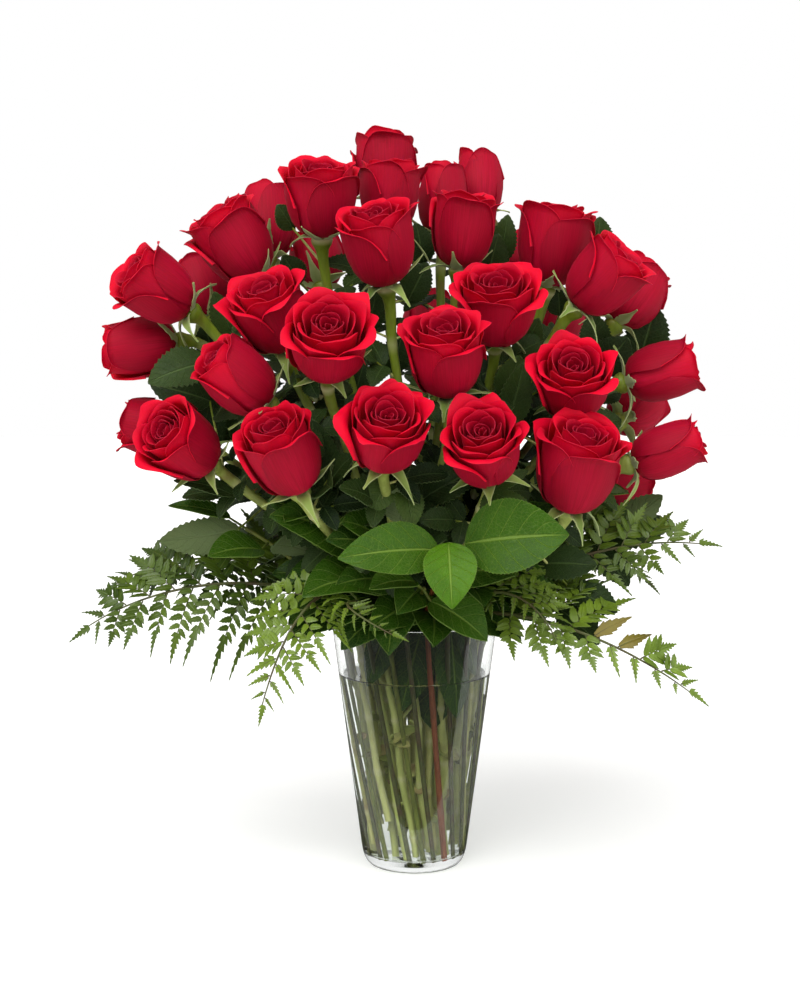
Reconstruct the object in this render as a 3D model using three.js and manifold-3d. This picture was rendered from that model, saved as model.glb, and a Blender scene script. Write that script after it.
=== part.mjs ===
// Three dozen red roses in a clear glass vase of water, with leatherleaf fern and salal leaves round them.
// Millimetres, +Z up. The origin is on the vase's axis, on the surface it stands on, and the front is -Y.
// Every stem has a place of its own on the vase's floor, so no two stems cross on their way up.
import * as THREE from "three";
import Module from "manifold-3d";

// ---------------------------------------------------------------- driving dimensions
const GAP = 0.3; // between pieces that touch
const VASE_HEIGHT = 190;
const RIM_RADIUS = 63.5;
const FOOT_RADIUS = 41.2; // where the straight taper starts, above the rounded foot
const FOOT_HEIGHT = 19;
const WALL = 3.2; // glass thickness near the rim
const FLOOR_Z = 9; // the thick glass bottom
const FLOOR_RADIUS = 36.5; // inside, at the bottom
const WATER_Z = 148;
const VASE_SIDES = 24;
const SPREAD = 0.8; // how much wider the ring of stems is at the rim than on the floor
const CLEAR_Z = 200; // stems run straight from the floor to here
const SPIRAL = 34; // degrees that the stems' feet stand round from their tops, as in a bunch tied in a spiral
const ROSE_STEM_RADIUS = 3.1;
const GREEN_STEM_RADIUS = 1.8;
const STEM_SPACING = 1.7; // least room between neighbouring stems on the floor
const BLADE = 0.8; // thickness of leaves and fronds
const HIP_HEIGHT = 13;
const SEPAL_LENGTH = 22;
const LINK_RADIUS = 1.3; // of the leaf stalks that lie across a bunch
const LINK_ROOM = 1.0; // from the middle of such a stalk to another stem's side, on the floor's scale
const PINNA_PAIRS = 8;

// ---------------------------------------------------------------- colours
const PETAL_RED = 0xc4061c;
const PETAL_DARK = 0x9c0520;
const STEM_GREEN = 0x6f8a2c;
const FERN_GREEN = 0x3f7a1c;
const SALAL_GREEN = 0x4f8f1c;
const GLASS = 0xe8f0f0;
const WATER = 0xd8e4dc;

// ---------------------------------------------------------------- where the roses are
// name, top of the hip (x, y, z), the way the bloom points (azimuth, elevation in degrees), radius,
// height, kind of bloom, turn about its own axis in degrees.
const ROSES = [
  ["01", -24, 85, 515, 90, 76, 31, 51, "half", 10],
  ["02", -69, -14, 479, -92, 71, 33, 54, "half", 40],
  ["03", -21, -52, 443, -114, 66, 33, 58, "half", 75],
  ["04", 51, 84, 502, 88, 70, 25, 49, "bud", 20],
  ["05", 33, -12, 456, -52, 80, 30, 56, "half", 0],
  ["06", 22, 50, 484, 89, 80, 24, 48, "bud", 33],
  ["32", -20, 15, 484, 0, 88, 29, 54, "half", 60],
  ["07", -117, -10, 449, -162, 56, 34, 60, "half", 15],
  ["08", -115, 54, 468, 93, 66, 29, 50, "bud", 50],
  ["09", -167, -28, 424, -155, 34, 31, 55, "half", 80],
  ["10", -158, 44, 420, 140, 62, 28, 48, "bud", 5],
  ["30", -74, 76, 446, 110, 58, 27, 46, "bud", 25],
  ["11", -180, 2, 400, -169, -7, 29, 55, "bud", 12],
  ["12", -95, -58, 397, -119, 57, 35, 57, "open", 30],
  ["14", -106, -86, 358, -153, 40, 29, 54, "bud", 55],
  ["15", -82, -104, 299, -122, 54, 32, 59, "half", 20],
  ["16", -150, -58, 314, -130, 30, 32, 55, "half", 65],
  ["17", -178, 10, 330, -173, 13, 27, 46, "bud", 40],
  ["13", -61, -108, 381, -87, 45, 37, 54, "open", 8],
  ["18", -22, -118, 319, -84, 47, 36, 54, "open", 44],
  ["19", 50, -110, 309, -101, 45, 34, 55, "open", 70],
  ["20", 22, -95, 366, -97, 58, 35, 61, "open", 22],
  ["21", 58, -45, 402, -90, 58, 39, 56, "open", 57],
  ["25", 113, -56, 352, -93, 48, 35, 53, "open", 35],
  ["27", 108, -85, 284, -71, 62, 36, 66, "half", 5],
  ["28", 161, -35, 312, -6, 21, 25, 54, "bud", 50],
  ["31", 140, 22, 290, 10, 4, 23, 42, "bud", 15],
  ["26", 159, -8, 371, -6, 16, 28, 54, "bud", 62],
  ["22", 99, 6, 443, -46, 79, 34, 58, "half", 30],
  ["23", 119, -32, 427, -22, 46, 32, 54, "half", 48],
  ["24", 156, 38, 416, 21, 55, 30, 52, "bud", 18],
  ["29", 160, 36, 340, 50, 22, 26, 46, "bud", 72],
  ["33", 84, 60, 448, 70, 50, 26, 46, "bud", 10],
  ["34", 108, 84, 392, 62, 45, 27, 46, "bud", 36],
  ["35", -78, 104, 366, 118, 40, 29, 50, "bud", 58],
  ["36", 12, 116, 396, 86, 48, 29, 50, "bud", 26],
];

// The stems are gathered in bunches by where they stand: a middle one, and six round it by azimuth.
const BUNCHES = ["middle", "right", "back_right", "back_left", "left", "front_left", "front_right"];
const MIDDLE_RADIUS = 13.5;

// Rings of a bloom from its seat to its heart: share of the height, share of the radius, petals in the
// whorl, how far the whorl's petal tips stand out and drop, and the whorl's turn in columns.
const BLOOMS = {
  open: {
    columns: 15,
    heart: 0.84,
    rings: [
      [0.26, 0.6, 0, 0, 0, 0],
      [0.6, 0.76, 5, 0.05, 0, 0],
      [0.83, 0.92, 5, 0.1, 0.06, 0],
      [0.75, 0.62, 5, 0, 0, 1],
      [0.94, 0.56, 5, 0.08, 0.04, 1],
      [0.82, 0.36, 3, 0, 0, 2],
      [0.98, 0.26, 3, 0.05, 0.02, 2],
    ],
  },
  half: {
    columns: 12,
    heart: 0.92,
    rings: [
      [0.26, 0.66, 0, 0, 0, 0],
      [0.58, 0.84, 4, 0.04, 0, 0],
      [0.8, 0.93, 4, 0.1, 0.07, 0],
      [0.76, 0.68, 4, 0, 0, 1],
      [0.93, 0.6, 4, 0.07, 0.03, 1],
      [0.85, 0.4, 3, 0, 0, 2],
      [1.0, 0.28, 3, 0.05, 0.02, 2],
    ],
  },
  bud: {
    columns: 12,
    heart: 0.95,
    rings: [
      [0.28, 0.74, 0, 0, 0, 0],
      [0.58, 0.98, 4, 0.04, 0, 0],
      [0.84, 0.84, 4, 0.09, 0.05, 0],
      [0.8, 0.6, 4, 0, 0, 1],
      [1.0, 0.44, 3, 0.06, 0.02, 2],
    ],
  },
};

// ---------------------------------------------------------------- fern and salal
// name, azimuth of its stem, two bends and the tip of its midrib, the way its face looks, its blade's
// share of the midrib above the vase, the length of its longest pinna.
const FRONDS = [
  ["left_front", 188, [-95, -38, 232], [-190, -44, 232], [-252, -46, 184], [0, -0.85, 0.52], 0.78, 84],
  ["left_rear", 170, [-95, 14, 240], [-185, 6, 250], [-238, 0, 210], [-0.1, -0.6, 0.8], 0.75, 70],
  ["front_left", -130, [-56, -74, 238], [-88, -106, 228], [-110, -116, 138], [-0.5, -0.78, 0.42], 0.7, 54],
  ["front", -98, [-26, -82, 212], [-30, -122, 213], [-38, -146, 182], [0, -0.5, 0.85], 0.7, 34],
  ["right", -18, [82, -56, 240], [160, -62, 264], [220, -52, 252], [0, -0.85, 0.52], 0.75, 54],
  ["front_right", -44, [72, -86, 213], [142, -111, 189], [204, -100, 146], [0.1, -0.7, 0.74], 0.76, 45],
  ["front_mid", -66, [46, -74, 230], [84, -98, 234], [102, -106, 184], [0.2, -0.7, 0.7], 0.68, 38],
  ["back_left", 140, [-80, 70, 240], [-150, 112, 240], [-196, 132, 190], [-0.3, 0.4, 0.85], 0.76, 66],
  ["back", 100, [-12, 92, 238], [-20, 150, 236], [-24, 192, 180], [0, 0.5, 0.85], 0.76, 62],
  ["back_right", 42, [80, 72, 240], [152, 104, 244], [204, 124, 194], [0.3, 0.4, 0.85], 0.76, 66],
];

// name, azimuth of its stem, two bends and the tip of its stem, then its leaves: base, tip, width,
// the way the leaf's face looks.
const SALAL = [
  ["front", -82, [8, -84, 224], [22, -104, 240], [25, -118, 258],
    [
      [[16, -124, 258], [-53, -148, 255], 37, [0.1, -0.8, 0.6]],
      [[34, -122, 262], [104, -138, 270], 50, [0.1, -0.8, 0.6]],
      [[22, -134, 264], [24, -157, 222], 37, [0, -0.9, 0.4]],
    ]],
  ["front_low", -112, [0, -74, 212], [4, -84, 220], [6, -92, 226],
    [
      [[10, -98, 218], [50, -112, 192], 40, [0.3, -0.6, 0.75]],
      [[0, -98, 232], [-32, -120, 230], 30, [-0.1, -0.5, 0.85]],
    ]],
  ["left", -160, [-70, -30, 226], [-104, -30, 250], [-126, -26, 262],
    [
      [[-138, -22, 270], [-184, -26, 279], 16, [0, -0.6, 0.8]],
      [[-112, -44, 248], [-150, -66, 246], 36, [0, -0.5, 0.85]],
    ]],
  ["right", 4, [70, 4, 226], [96, 4, 250], [108, 0, 264],
    [
      [[112, -4, 284], [160, -24, 288], 26, [0, -0.5, 0.85]],
      [[110, 16, 264], [142, 46, 252], 34, [0.3, 0.3, 0.9]],
    ]],
  ["back", 68, [18, 88, 230], [22, 112, 252], [24, 124, 268],
    [
      [[16, 130, 270], [-36, 150, 280], 38, [0, 0.6, 0.75]],
      [[34, 130, 272], [84, 146, 276], 38, [0.2, 0.6, 0.75]],
      [[26, 138, 270], [28, 170, 238], 36, [0, 0.7, 0.6]],
    ]],
];

// Rose leaves: the stem they grow on, base, tip, width, the way the face looks, leaflets.
const ROSE_LEAVES = [
  ["09", [-150, -36, 386], [-194, -50, 371], 34, [-0.1, -0.9, 0.4], 1],
  ["25", [66, -46, 338], [78, -58, 386], 26, [0.2, -0.9, 0.3], 1],
  ["12", [-62, -66, 288], [-74, -76, 346], 36, [-0.2, -0.9, 0.3], 1],
  ["16", [-132, -44, 288], [-176, -52, 300], 16, [0, -0.7, 0.7], 1],
  ["18", [-20, -92, 304], [-30, -100, 282], 24, [0, -0.95, 0.3], 1],
  ["19", [54, -104, 296], [84, -122, 280], 14, [0, -0.9, 0.4], 3],
  ["22", [80, -12, 392], [92, -24, 418], 22, [0, -0.95, 0.2], 1],
  ["07", [-136, 2, 404], [-150, -6, 438], 22, [-0.2, -0.95, 0.2], 1],
  ["20", [-8, -94, 300], [-2, -106, 272], 22, [0.2, -0.95, 0.2], 1],
  ["36", [0, 112, 318], [-28, 134, 356], 34, [-0.1, 0.8, 0.6], 1],
  ["34", [112, 78, 316], [146, 98, 346], 34, [0.4, 0.7, 0.6], 1],
];

// ---------------------------------------------------------------- small helpers
const wasm = await Module();
wasm.setup();

const rad = THREE.MathUtils.degToRad;
const vec = (x, y, z) => new THREE.Vector3(x, y, z);

// Numbers from 0 to 1 that are the same on every run.
function seeded(seed) {
  let state = seed;
  return () => {
    state = (state * 16807) % 2147483647;
    return state / 2147483647;
  };
}

function direction(azimuth, elevation) {
  const flat = Math.cos(rad(elevation));
  return vec(flat * Math.cos(rad(azimuth)), flat * Math.sin(rad(azimuth)), Math.sin(rad(elevation)));
}

// a + b * t for vectors
function along(a, b, t) {
  return a.clone().addScaledVector(b, t);
}

function geometryOf(points, index) {
  const geometry = new THREE.BufferGeometry();
  const flat = points.flatMap((p) => [p.x, p.y, p.z]);
  geometry.setAttribute("position", new THREE.Float32BufferAttribute(flat, 3));
  geometry.setIndex(index);
  return geometry;
}

function solidOf(geometry) {
  return new wasm.Manifold(
    new wasm.Mesh({
      numProp: 3,
      vertProperties: new Float32Array(geometry.getAttribute("position").array),
      triVerts: new Uint32Array(geometry.getIndex().array),
    }),
  );
}

function joined(geometries) {
  return geometries.map(solidOf).reduce((whole, next) => whole.add(next));
}

function geometryFrom(solid) {
  const mesh = solid.getMesh();
  const geometry = new THREE.BufferGeometry();
  geometry.setAttribute("position", new THREE.Float32BufferAttribute(mesh.vertProperties, 3));
  geometry.setIndex([...mesh.triVerts]);
  return geometry;
}

// A closed skin over rings of points that climb an axis and turn anticlockwise about it. A ring of one
// point is a pole, and a ring may have twice the points of the one below.
function skin(rings) {
  const points = rings.flat();
  const index = [];
  let start = 0;
  for (let r = 0; r + 1 < rings.length; r++) {
    const low = rings[r].length;
    const high = rings[r + 1].length;
    const next = start + low;
    const count = low === 1 || high === 1 ? Math.max(low, high) : low;
    for (let i = 0; i < count; i++) {
      const j = (i + 1) % count;
      if (low === 1) {
        index.push(start, next + j, next + i);
        continue;
      }
      if (high === 1) {
        index.push(start + i, start + j, next);
        continue;
      }
      if (high === 2 * low) {
        const middle = next + 2 * i + 1;
        index.push(start + i, start + j, middle);
        index.push(start + i, middle, next + 2 * i);
        index.push(start + j, next + ((2 * i + 2) % high), middle);
        continue;
      }
      index.push(start + i, start + j, next + j);
      index.push(start + i, next + j, next + i);
    }
    start = next;
  }
  return geometryOf(points, index);
}

// A thin blade: points and triangles set out flat, each point put in space by place(), which gives its
// middle and the normal there. Both faces have the same triangles, and a wall runs round the edge.
function blade(flat, triangles, place) {
  const placed = flat.map(place);
  const upper = placed.map((p) => along(p.at, p.normal, BLADE / 2));
  const lower = placed.map((p) => along(p.at, p.normal, -BLADE / 2));
  const n = flat.length;
  const index = [];
  const edges = new Set(triangles.flatMap(([a, b, c]) => [a + ">" + b, b + ">" + c, c + ">" + a]));
  for (const [a, b, c] of triangles) {
    index.push(a, b, c);
    index.push(n + a, n + c, n + b);
    for (const [p, q] of [[a, b], [b, c], [c, a]]) {
      if (edges.has(q + ">" + p)) {
        continue;
      }
      index.push(q, p, n + p);
      index.push(q, n + p, n + q);
    }
  }
  return geometryOf([...upper, ...lower], index);
}

// ---------------------------------------------------------------- stems
function scaleAt(z) {
  return 1 + (SPREAD * (z - FLOOR_Z)) / (VASE_HEIGHT - FLOOR_Z);
}

// The middle of a stem's straight part at a height. Its foot is its place turned round by the spiral, and its
// top is its place drawn out by the vase's taper. Every level is one turn and one scale of the same layout, so
// stems that stand clear of each other on the floor are clear all the way up.
function standAt(place, z) {
  const s = scaleAt(CLEAR_Z);
  const t = (z - FLOOR_Z) / (CLEAR_Z - FLOOR_Z);
  const footX = place.x * Math.cos(rad(SPIRAL)) - place.y * Math.sin(rad(SPIRAL));
  const footY = place.x * Math.sin(rad(SPIRAL)) + place.y * Math.cos(rad(SPIRAL));
  return vec(footX + (place.x * s - footX) * t, footY + (place.y * s - footY) * t, z);
}

// Gives every stem its place on the vase's floor: it starts where its bloom or frond wants it, and the
// stems push each other apart until none is closer than the spacing.
function standingPlaces(wants) {
  const places = wants.map((w) => ({ x: w.x, y: w.y, r: w.r }));
  for (let pass = 0; pass < 600; pass++) {
    for (let i = 0; i < places.length; i++) {
      for (let j = i + 1; j < places.length; j++) {
        const a = places[i];
        const b = places[j];
        const dx = b.x - a.x;
        const dy = b.y - a.y;
        const d = Math.sqrt(dx * dx + dy * dy) + 1e-9;
        const short = a.r + b.r + STEM_SPACING - d;
        if (short > 0) {
          a.x -= (dx / d) * short * 0.5;
          a.y -= (dy / d) * short * 0.5;
          b.x += (dx / d) * short * 0.5;
          b.y += (dy / d) * short * 0.5;
        }
      }
    }
    for (const p of places) {
      const far = Math.sqrt(p.x * p.x + p.y * p.y);
      const most = FLOOR_RADIUS - 3.2 - p.r;
      if (far > most) {
        p.x *= most / far;
        p.y *= most / far;
      }
    }
  }
  return places;
}

// A rose stem's curve above the straight part, to the foot of its hip.
function roseCurve(rose) {
  const start = standAt(rose.place, CLEAR_Z);
  const lean = SPREAD / (VASE_HEIGHT - FLOOR_Z);
  const rise = vec(rose.place.x * lean, rose.place.y * lean, 1).normalize();
  const end = along(rose.hip, rose.axis, -HIP_HEIGHT);
  const reach = start.distanceTo(end);
  const chord = end.clone().sub(start).normalize();
  const arrive = along(chord, rose.axis, 1).normalize();
  return new THREE.CubicBezierCurve3(
    start,
    along(start, rise, reach * 0.3),
    along(end, arrive, -reach * 0.3),
    end,
  );
}

function ring(centre, x, y, radius, count, turn = 0) {
  return Array.from({ length: count }, (_, i) => {
    const a = turn + (2 * Math.PI * i) / count;
    return along(along(centre, x, radius * Math.cos(a)), y, radius * Math.sin(a));
  });
}

// Rings of a stem: straight and level-cut to CLEAR_Z, then square to the curve at each share.
function stemRings(place, curve, radius, sides, shares) {
  const rings = [];
  const heading = curve.getPoint(1).clone().sub(curve.getPoint(0));
  const side = vec(-heading.y, heading.x, 0).normalize();
  const level = vec(-side.y, side.x, 0);
  for (const z of [FLOOR_Z + GAP, CLEAR_Z]) {
    rings.push(ring(standAt(place, z), side, level, radius, sides));
  }
  let x = side;
  let y = level;
  for (const t of shares) {
    const tangent = curve.getTangent(t);
    x = along(x, tangent, -x.dot(tangent)).normalize();
    y = new THREE.Vector3().crossVectors(tangent, x);
    rings.push(ring(curve.getPoint(t), x, y, radius, sides));
  }
  return { rings, x, y };
}

// A rose stem with its hip and five sepals bent back below the bloom.
function roseStem(rose) {
  const random = seeded(500 + Number(rose.name));
  const curve = roseCurve(rose);
  const { rings, x } = stemRings(rose.place, curve, ROSE_STEM_RADIUS, 5, [0.45, 1]);
  const across = along(x, rose.axis, -x.dot(rose.axis)).normalize();
  const up = new THREE.Vector3().crossVectors(rose.axis, across);
  rings.push(ring(along(rose.hip, rose.axis, -6), across, up, 7, 5));
  const star = ring(along(rose.hip, rose.axis, -0.5), across, up, 7.5, 10);
  for (let i = 1; i < 10; i += 2) {
    const a = (2 * Math.PI * i) / 10;
    const out = along(across.clone().multiplyScalar(Math.cos(a)), up, Math.sin(a));
    const drop = -6 - 9 * random();
    star[i] = along(along(rose.hip, out, SEPAL_LENGTH - 5 * random()), rose.axis, drop);
  }
  rings.push(star);
  rings.push([rose.hip.clone()]);
  const foot = rings[0][0].clone().add(rings[0][2]).add(rings[0][3]).divideScalar(3);
  return skin([[foot.setZ(rings[0][0].z)], ...rings]);
}

// A thin straight leaf stalk, sunk into what it joins at both ends.
function stalk(from, to, radius = 1.1) {
  const axis = to.clone().sub(from).normalize();
  const x = new THREE.Vector3().crossVectors(axis, vec(0.31, 0.17, 0.93)).normalize();
  const y = new THREE.Vector3().crossVectors(axis, x);
  const first = ring(from, x, y, radius, 3);
  const last = ring(to, x, y, radius, 3);
  return geometryOf(
    [...first, ...last],
    [0, 2, 1, 3, 4, 5, 0, 1, 4, 0, 4, 3, 1, 2, 5, 1, 5, 4, 2, 0, 3, 2, 3, 5],
  );
}

// ---------------------------------------------------------------- blooms
// A rose in whorls of petals: each whorl's rim stands out in lobes with the left edge of a petal tucked
// under its neighbour's right edge, and a groove parts it from the whorl inside.
function bloom(rose) {
  const kind = BLOOMS[rose.kind];
  const random = seeded(100 + Number(rose.name));
  const turn = new THREE.Quaternion().setFromUnitVectors(vec(0, 0, 1), rose.axis);
  const n = kind.columns;
  const place = (u, r, a) =>
    vec(r * Math.cos(a), r * Math.sin(a), u).applyQuaternion(turn).add(rose.hip);
  const angle = (i) => rad(rose.turn) + (2 * Math.PI * i) / n;
  const rings = [[place(GAP, 0, 0)], Array.from({ length: n }, (_, i) => place(GAP, 6, angle(i)))];
  for (const [height, radius, petals, out, drop, shift] of kind.rings) {
    const size = petals ? Array.from({ length: petals }, () => random() - 0.5) : [0];
    rings.push(
      Array.from({ length: n }, (_, i) => {
        const wide = petals ? n / petals : n;
        const k = (i + shift) % n;
        const petal = petals ? Math.floor(k / wide) : 0;
        const c = petals ? ((k % wide) - (wide - 1) / 2) / ((wide - 1) / 2) : 0;
        const tip = 1 - Math.abs(c);
        const tuck = petals ? 0.045 * c : 0;
        const r = radius + out * (tip - 0.4) + tuck + 0.05 * size[petal] * (petals ? 1 : 0);
        const u = height - drop * tip + 0.3 * drop + 0.05 * size[petal] * (petals ? 1 : 0);
        return place(u * rose.height, r * rose.radius, angle(i));
      }),
    );
  }
  rings.push([place(kind.heart * rose.height, 0, 0)]);
  return skin(rings);
}

// ---------------------------------------------------------------- leaves
// A leaf from base to tip, folded a little along its midrib and arched along it.
// The outline is pairs of (share of the length, share of the half width) up one side.
const SALAL_OUTLINE = [[0.1, 0.5], [0.3, 0.95], [0.5, 1], [0.78, 0.56]];
const ROSE_OUTLINE = [[0.18, 0.72], [0.42, 1], [0.5, 0.78], [0.76, 0.56]];

function leaf(base, tip, width, face, outline, arch = 0.08) {
  const run = tip.clone().sub(base);
  const length = run.length();
  const ahead = run.clone().normalize();
  const normal = along(face, ahead, -face.dot(ahead)).normalize();
  const side = new THREE.Vector3().crossVectors(normal, ahead);
  const flat = [[0, 0], ...outline.map(([s, w]) => [s, w]), [1, 0]];
  flat.push(...outline.map(([s, w]) => [s, -w]).reverse(), [0.48, 0]);
  const rim = flat.length - 1;
  const triangles = Array.from({ length: rim }, (_, i) => [i, rim, (i + 1) % rim]);
  const fold = 0.25;
  const place = ([s, w]) => {
    const half = (w * width) / 2;
    const lift = arch * length * 4 * s * (1 - s) + fold * Math.abs(half);
    const at = along(along(along(base, run, s), side, half), normal, lift);
    const slope = arch * 4 * (1 - 2 * s);
    const lean = w === 0 ? 0 : -fold * Math.sign(w);
    const facing = along(along(normal, ahead, -slope), side, lean).normalize();
    return { at, normal: facing };
  };
  return blade(flat, triangles, place);
}

// A rose leaf: one leaflet, or three with the side pair set at its base.
function roseLeaf(base, tip, width, face, leaflets) {
  const parts = [leaf(base, tip, width, face, ROSE_OUTLINE)];
  if (leaflets === 3) {
    const run = tip.clone().sub(base);
    const ahead = run.clone().normalize();
    const normal = along(face, ahead, -face.dot(ahead)).normalize();
    const side = new THREE.Vector3().crossVectors(normal, ahead);
    for (const way of [1, -1]) {
      const from = along(base, ahead, -2);
      const to = along(along(from, ahead, 0.35 * run.length()), side, 0.7 * way * run.length());
      parts.push(leaf(from, to, width * 0.85, face, ROSE_OUTLINE));
    }
  }
  return parts;
}

// ---------------------------------------------------------------- fern
// A frond's flat outline: a rib with a pinna on each side between one rib point and the next, the pinnae
// long near the base and short towards the tip, each a blade cut free of its neighbours down to the rib.
function frondOutline(length, longest) {
  const flat = [];
  const triangles = [];
  const ribHalf = 1.3;
  const stations = Array.from({ length: PINNA_PAIRS + 1 }, (_, k) => {
    const s = k / PINNA_PAIRS;
    return length * 0.93 * (s * 1.12 - 0.12 * s * s);
  });
  for (const x of stations) {
    flat.push([x, ribHalf]);
    flat.push([x, -ribHalf]);
  }
  for (let k = 0; k < PINNA_PAIRS; k++) {
    triangles.push([2 * k, 2 * k + 1, 2 * k + 3], [2 * k, 2 * k + 3, 2 * k + 2]);
    const gap = stations[k + 1] - stations[k];
    const reach = longest * (1 - 0.86 * Math.pow((k + 0.5) / PINNA_PAIRS, 1.15)) * (k === 0 ? 0.9 : 1);
    const wide = gap * 0.36 * (k === 0 ? 0.85 : 1);
    const lean = rad(56 - 10 * (k / PINNA_PAIRS));
    const middle = stations[k] + gap * 0.4;
    for (const way of [1, -1]) {
      const on = (t, w) => {
        const bend = 0.1 * reach * t * t;
        return [
          middle + t * reach * Math.cos(lean) + w * Math.sin(lean) + bend,
          way * (ribHalf + t * reach * Math.sin(lean) - w * Math.cos(lean) - bend * 0.5),
        ];
      };
      const first = flat.length;
      flat.push(on(0.42, -wide), on(1, 0), on(0.34, wide));
      const a = way > 0 ? 2 * k : 2 * k + 1;
      const b = way > 0 ? 2 * k + 2 : 2 * k + 3;
      const fan = [
        [a, b, first + 2],
        [a, first + 2, first],
        [first, first + 2, first + 1],
      ];
      triangles.push(...fan.map(([p, q, r]) => (way > 0 ? [p, q, r] : [p, r, q])));
    }
  }
  const last = flat.length;
  flat.push([length, 0]);
  triangles.push([2 * PINNA_PAIRS, 2 * PINNA_PAIRS + 1, last]);
  return { flat, triangles };
}

function greenCurve(place, bends) {
  return new THREE.CubicBezierCurve3(standAt(place, CLEAR_Z), ...bends.map((b) => vec(...b)));
}

function frond(spec) {
  const curve = greenCurve(spec.place, spec.bends);
  const whole = curve.getLength();
  const length = whole * spec.share;
  const start = whole - length;
  const face = vec(...spec.face);
  const { flat, triangles } = frondOutline(length, spec.longest);
  const place = ([x, y]) => {
    const u = Math.min(1, (start + x) / whole);
    const ahead = curve.getTangentAt(u);
    const normal = along(face, ahead, -face.dot(ahead)).normalize();
    const side = new THREE.Vector3().crossVectors(normal, ahead);
    const beyond = start + x - whole * u;
    const droop = 0.0022 * y * y;
    const at = along(along(along(curve.getPointAt(u), ahead, beyond), side, y), normal, -droop);
    const facing = along(normal, side, 0.0044 * y).normalize();
    return { at, normal: facing };
  };
  const shares = [0.25, 0.55].map((t) => t * (start / whole) * 1.6);
  shares.push(curve.getUtoTmapping((start + 6) / whole));
  const { rings } = stemRings(spec.place, curve, GREEN_STEM_RADIUS, 3, shares);
  const foot = rings[0].reduce((sum, p) => sum.add(p), vec(0, 0, 0)).divideScalar(3);
  const tip = curve.getPointAt((start + 14) / whole);
  return joined([skin([[foot], ...rings, [tip]]), blade(flat, triangles, place)]);
}

function salal(spec) {
  const curve = greenCurve(spec.place, spec.bends);
  const { rings } = stemRings(spec.place, curve, GREEN_STEM_RADIUS, 3, [0.3, 0.65, 0.97]);
  const foot = rings[0].reduce((sum, p) => sum.add(p), vec(0, 0, 0)).divideScalar(3);
  const parts = [skin([[foot], ...rings, [curve.getPoint(1)]])];
  for (const [base, tip, width, face] of spec.leaves) {
    const from = vec(...base);
    const to = vec(...tip);
    parts.push(leaf(from, to, width, vec(...face), SALAL_OUTLINE));
    const ahead = to.clone().sub(from).normalize();
    parts.push(stalk(nearestOn(curve, from), along(from, ahead, 1.5)));
  }
  return joined(parts);
}

function nearestOn(curve, point) {
  let best = curve.getPoint(0);
  for (let i = 1; i <= 40; i++) {
    const p = curve.getPoint((i / 40) * 0.96);
    if (p.distanceTo(point) < best.distanceTo(point)) {
      best = p;
    }
  }
  return best;
}

// ---------------------------------------------------------------- vase and water
function lathe(profile) {
  const points = profile.map(([r, z]) => new THREE.Vector2(r, z));
  const geometry = new THREE.LatheGeometry(points, VASE_SIDES);
  geometry.rotateX(Math.PI / 2);
  return closed(geometry);
}

// A lathe or cylinder with its seam and pole points merged by hand, so that it is one closed surface.
function closed(geometry) {
  const position = geometry.getAttribute("position");
  const seen = new Map();
  const points = [];
  const to = [];
  for (let i = 0; i < position.count; i++) {
    const p = vec(position.getX(i), position.getY(i), position.getZ(i));
    const key = [p.x, p.y, p.z].map((c) => Math.round(c * 1e4)).join(",");
    if (!seen.has(key)) {
      seen.set(key, points.length);
      points.push(p);
    }
    to.push(seen.get(key));
  }
  const index = [];
  const source = geometry.getIndex().array;
  for (let i = 0; i < source.length; i += 3) {
    const [a, b, c] = [to[source[i]], to[source[i + 1]], to[source[i + 2]]];
    if (a !== b && b !== c && a !== c) {
      index.push(a, b, c);
    }
  }
  return geometryOf(points, index);
}

function outerRadius(z) {
  return FOOT_RADIUS + ((RIM_RADIUS - FOOT_RADIUS) * (z - FOOT_HEIGHT)) / (VASE_HEIGHT - FOOT_HEIGHT);
}

function innerRadius(z) {
  return outerRadius(z) - WALL - 0.5 * (1 - z / VASE_HEIGHT);
}

function vaseSolid() {
  return lathe([
    [0, 0],
    [31, 0],
    [36.6, 3],
    [39.6, 9],
    [FOOT_RADIUS, FOOT_HEIGHT],
    [outerRadius(VASE_HEIGHT - 2), VASE_HEIGHT - 2],
    [RIM_RADIUS - 0.7, VASE_HEIGHT],
    [innerRadius(VASE_HEIGHT) + 0.7, VASE_HEIGHT],
    [innerRadius(VASE_HEIGHT - 2), VASE_HEIGHT - 2],
    [innerRadius(16), 16],
    [FLOOR_RADIUS - 0.6, FLOOR_Z + 2.5],
    [FLOOR_RADIUS - 2.2, FLOOR_Z],
    [0, FLOOR_Z],
  ]);
}

function waterSolid(stems) {
  const z = FLOOR_Z + GAP;
  const body = lathe([
    [0, z],
    [FLOOR_RADIUS - 2.2 - GAP, z],
    [innerRadius(16) - 1.4 * GAP, 16 + GAP],
    [innerRadius(WATER_Z) - 1.4 * GAP, WATER_Z],
    [0, WATER_Z],
  ]);
  let whole = solidOf(body);
  for (const { place, curve, radius, sides } of stems) {
    const heading = curve.getPoint(1).clone().sub(curve.getPoint(0));
    const side = vec(-heading.y, heading.x, 0).normalize();
    const level = vec(-side.y, side.x, 0);
    const widened = radius + (sides === 3 ? 2 : 1.25) * GAP;
    const rings = [FLOOR_Z - 2, WATER_Z + 5].map((h) => ring(standAt(place, h), side, level, widened, sides));
    const caps = rings.map((r) => r.reduce((sum, p) => sum.add(p), vec(0, 0, 0)).divideScalar(sides));
    whole = whole.subtract(solidOf(skin([[caps[0]], ...rings, [caps[1]]])));
  }
  return whole;
}

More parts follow.
